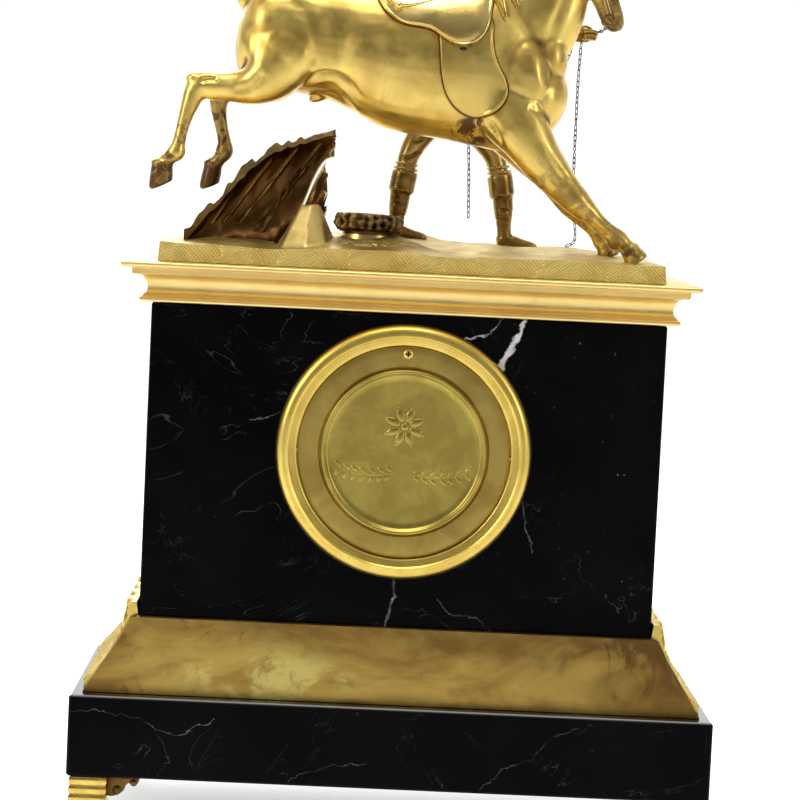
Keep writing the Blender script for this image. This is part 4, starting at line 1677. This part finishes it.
def make_dial_marks():
    """Roman hours, a ring of minutes, and bushes round the winding holes."""
    bm = bmesh.new()

    def bar(matrix, x_low, x_high, half, y_low=0.0, y_high=TALL):
        """A stroke from the numeral's foot to its head."""
        made = bmesh.ops.create_cube(bm, size=1)["verts"]
        for vert in made:
            up = vert.co.y + 0.5
            x = x_low + (x_high - x_low) * up + vert.co.x * 2 * half
            vert.co = Vector((x, y_low + (y_high - y_low) * up, vert.co.z * 0.3))
        bmesh.ops.transform(bm, verts=made, matrix=matrix)

    def upright(share, foot, radius):
        """The frame of a mark that stands on the dial, at a share of the way round."""
        return put((0, dial_front(radius) - 0.05, DIAL_Z), Matrix.Rotation(TURN * share, 4, "Y"),
                   Matrix.Translation((0, 0, foot)), rotated(90, "X"))

    for hour, name in enumerate(HOURS):
        place = upright(hour / 12, FOOT, FOOT + TALL / 2)
        pen = -sum(STROKE_WIDTHS[letter] for letter in name) / 2
        for letter in name:
            width = STROKE_WIDTHS[letter]
            centre = pen + width / 2
            pen += width
            if letter == "I":
                bar(place, centre, centre, 0.5)
                spans = [(centre - 0.9, centre + 0.9)]
            else:
                reach = width / 2 - 0.9
                foot = 0 if letter == "V" else reach
                bar(place, centre + foot, centre - reach, 0.5)
                bar(place, centre - foot, centre + reach, 0.2)
                spans = [(centre - reach - 0.7, centre - reach + 0.8), (centre + reach - 0.8, centre + reach + 0.7)]
            for low, high in spans:
                middle, half = (low + high) / 2, (high - low) / 2
                if letter != "V":
                    bar(place, middle, middle, half, 0, 0.22)
                bar(place, middle, middle, half, TALL - 0.22, TALL)
    for k in range(60):
        bar(upright(k / 60, 46.6, 47.4), 0, 0, 0.42 if k % 5 == 0 else 0.13, 0, 1.6)
    settle(piece("dial_numerals", bm, "ink"))
    for tag, radius in (("inner", 46.5), ("outer", 48.3)):
        y = dial_front(radius)
        profile = [(radius + 0.12, y + 0.1), (radius + 0.12, y - 0.15), (radius - 0.12, y - 0.15),
                   (radius - 0.12, y + 0.1)]
        settle(turned("minute_circle_" + tag, profile, "ink", steps=120))
    for name in ("going_arbor", "strike_arbor"):
        low, high = (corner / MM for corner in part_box(name))
        centre = ((low.x + high.x) / 2, 0, (low.z + high.z) / 2)
        y = dial_front(27)
        profile = [(3.9, y - 0.5), (4.4, y - 0.35), (4.6, y + 0.1), (3.45, y + 0.1), (3.45, y - 0.4)]
        settle(turned(name + "_bush", profile, "brass", centre, 48))


# ---- what keeps its CAD shape --------------------------------------------------------------
NODE_FINISH = {"case_back": "marble_back", "base_slab": "marble_base", "case_front": "marble", "case_left": "marble",
               "case_right": "marble", "skirt_back_panel": "patina"}


def dress_nodes():
    """Gives each node of the frame the finish of its slot, or its own."""
    slots = {name: m["slot"] for m in frame["record"]["materials"] for name in m.get("nodes") or []}
    for name, obj in frame["nodes"].items():
        key = NODE_FINISH.get(name, slots.get(name))
        obj.data.materials.clear()
        obj.data.materials.append(FINISH[key if key in FINISH else "brass"])


# ---- stage ---------------------------------------------------------------------------------
def make_stage():
    bm = bmesh.new()
    bmesh.ops.create_grid(bm, x_segments=1, y_segments=1, size=40)
    mesh = bpy.data.meshes.new("floor")
    bm.to_mesh(mesh)
    bm.free()

    def pale(place):
        tone = cloud(place, 0.002, 2)
        _, y, _ = split(place)
        glow = span(y, -150, 900, 1.0, 0.0)
        return {"Base Color": tint(tone, (0.86, 0.865, 0.87), (0.88, 0.88, 0.88)),
                "Roughness": span(tone, 0.3, 0.7, 0.5, 0.6), "Emission Color": tint(glow, (0.12, 0.12, 0.12), (1, 1, 1))}
    mesh.materials.append(finish("pale_floor", {"Emission Strength": 0.55}, pale))
    floor = bpy.data.objects.new("floor", mesh)
    bpy.context.scene.collection.objects.link(floor)
    world = bpy.data.worlds.new("studio")
    world.use_nodes = True
    bpy.context.scene.world = world
    tree = world.node_tree
    way = Wire(tree.nodes.new("ShaderNodeTexCoord").outputs["Generated"])
    x, y, z = split(way)
    overhead = span(z, 0.05, 0.75)
    beside = span(abs(x), 0.35, 0.8)
    behind = span(y, -0.15, -0.7)
    level = 0.15 + overhead * 0.24 + beside * 0.12 + behind * 0.98
    tree.links.new(tint(overhead, (0.98, 0.99, 1.0), (1.0, 1.0, 1.0)).socket, tree.nodes["Background"].inputs["Color"])
    tree.links.new(level.socket, tree.nodes["Background"].inputs["Strength"])
    lamps = [("top_softbox", (0.1, 0.45, 1.75), (0, 0, 0.3), 1.0, 0.7, 12),
             ("left_softbox", (1.35, 0.85, 0.9), (0, 0.05, 0.3), 0.4, 0.9, 10),
             ("right_softbox", (-1.5, 1.0, 0.75), (0, 0.05, 0.3), 0.3, 0.8, 5),
             ("dial_softbox", (0.5, -1.5, 1.1), (0, 0, 0.3), 0.9, 0.9, 12)]
    for name, at, aim, wide, tall, power in lamps:
        lamp = bpy.data.lights.new(name, "AREA")
        lamp.shape = "RECTANGLE"
        lamp.size, lamp.size_y = wide, tall
        lamp.energy = power
        obj = bpy.data.objects.new(name, lamp)
        obj.location = at
        obj.rotation_euler = (Vector(aim) - Vector(at)).to_track_quat("-Z", "Y").to_euler()
        bpy.context.scene.collection.objects.link(obj)


def make_camera():
    lens = bpy.data.cameras.new("viewpoint")
    lens.lens, lens.sensor_width = 131.26, 36
    lens.clip_start, lens.clip_end = 0.05, 60
    camera = bpy.data.objects.new("viewpoint", lens)
    right = Vector((-0.99875457, 0.01419231, 0.04783192))
    down = Vector((-0.04655499, 0.07967781, -0.99573294))
    ahead = Vector((-0.01794289, -0.99671963, -0.07891785))
    turn = Matrix((right, -down, -ahead)).transposed().to_4x4()
    camera.matrix_world = Matrix.Translation((0.02987, 1.55235, 0.3452)) @ turn
    bpy.context.scene.collection.objects.link(camera)
    bpy.context.scene.camera = camera


def main():
    bpy.context.scene.view_settings.view_transform = "Standard"
    dress_nodes()
    make_cornice()
    make_feet()
    make_skirt_castings()
    make_terrain()
    make_log()
    make_stump()
    horse = make_horse()
    skin = BVHTree.FromPolygons([v.co for v in horse.data.vertices], [p.vertices for p in horse.data.polygons])
    make_hair(skin)
    make_bridle(skin)
    make_saddle(skin, horse)
    make_groom()
    make_chain("long_chain_links", LONG_CHAIN, "case", "chain_long")
    make_chain("lead_chain_links", LEAD_CHAIN, "case", "chain_lead")
    make_chain("bit_chain_links", SHORT_CHAIN, "case", "chain_to_bit")
    make_chain("chain_end_links", CHAIN_END, "chain_end", "chain_end")
    make_rear()
    make_dial_side()
    make_stage()
    make_camera()


main()
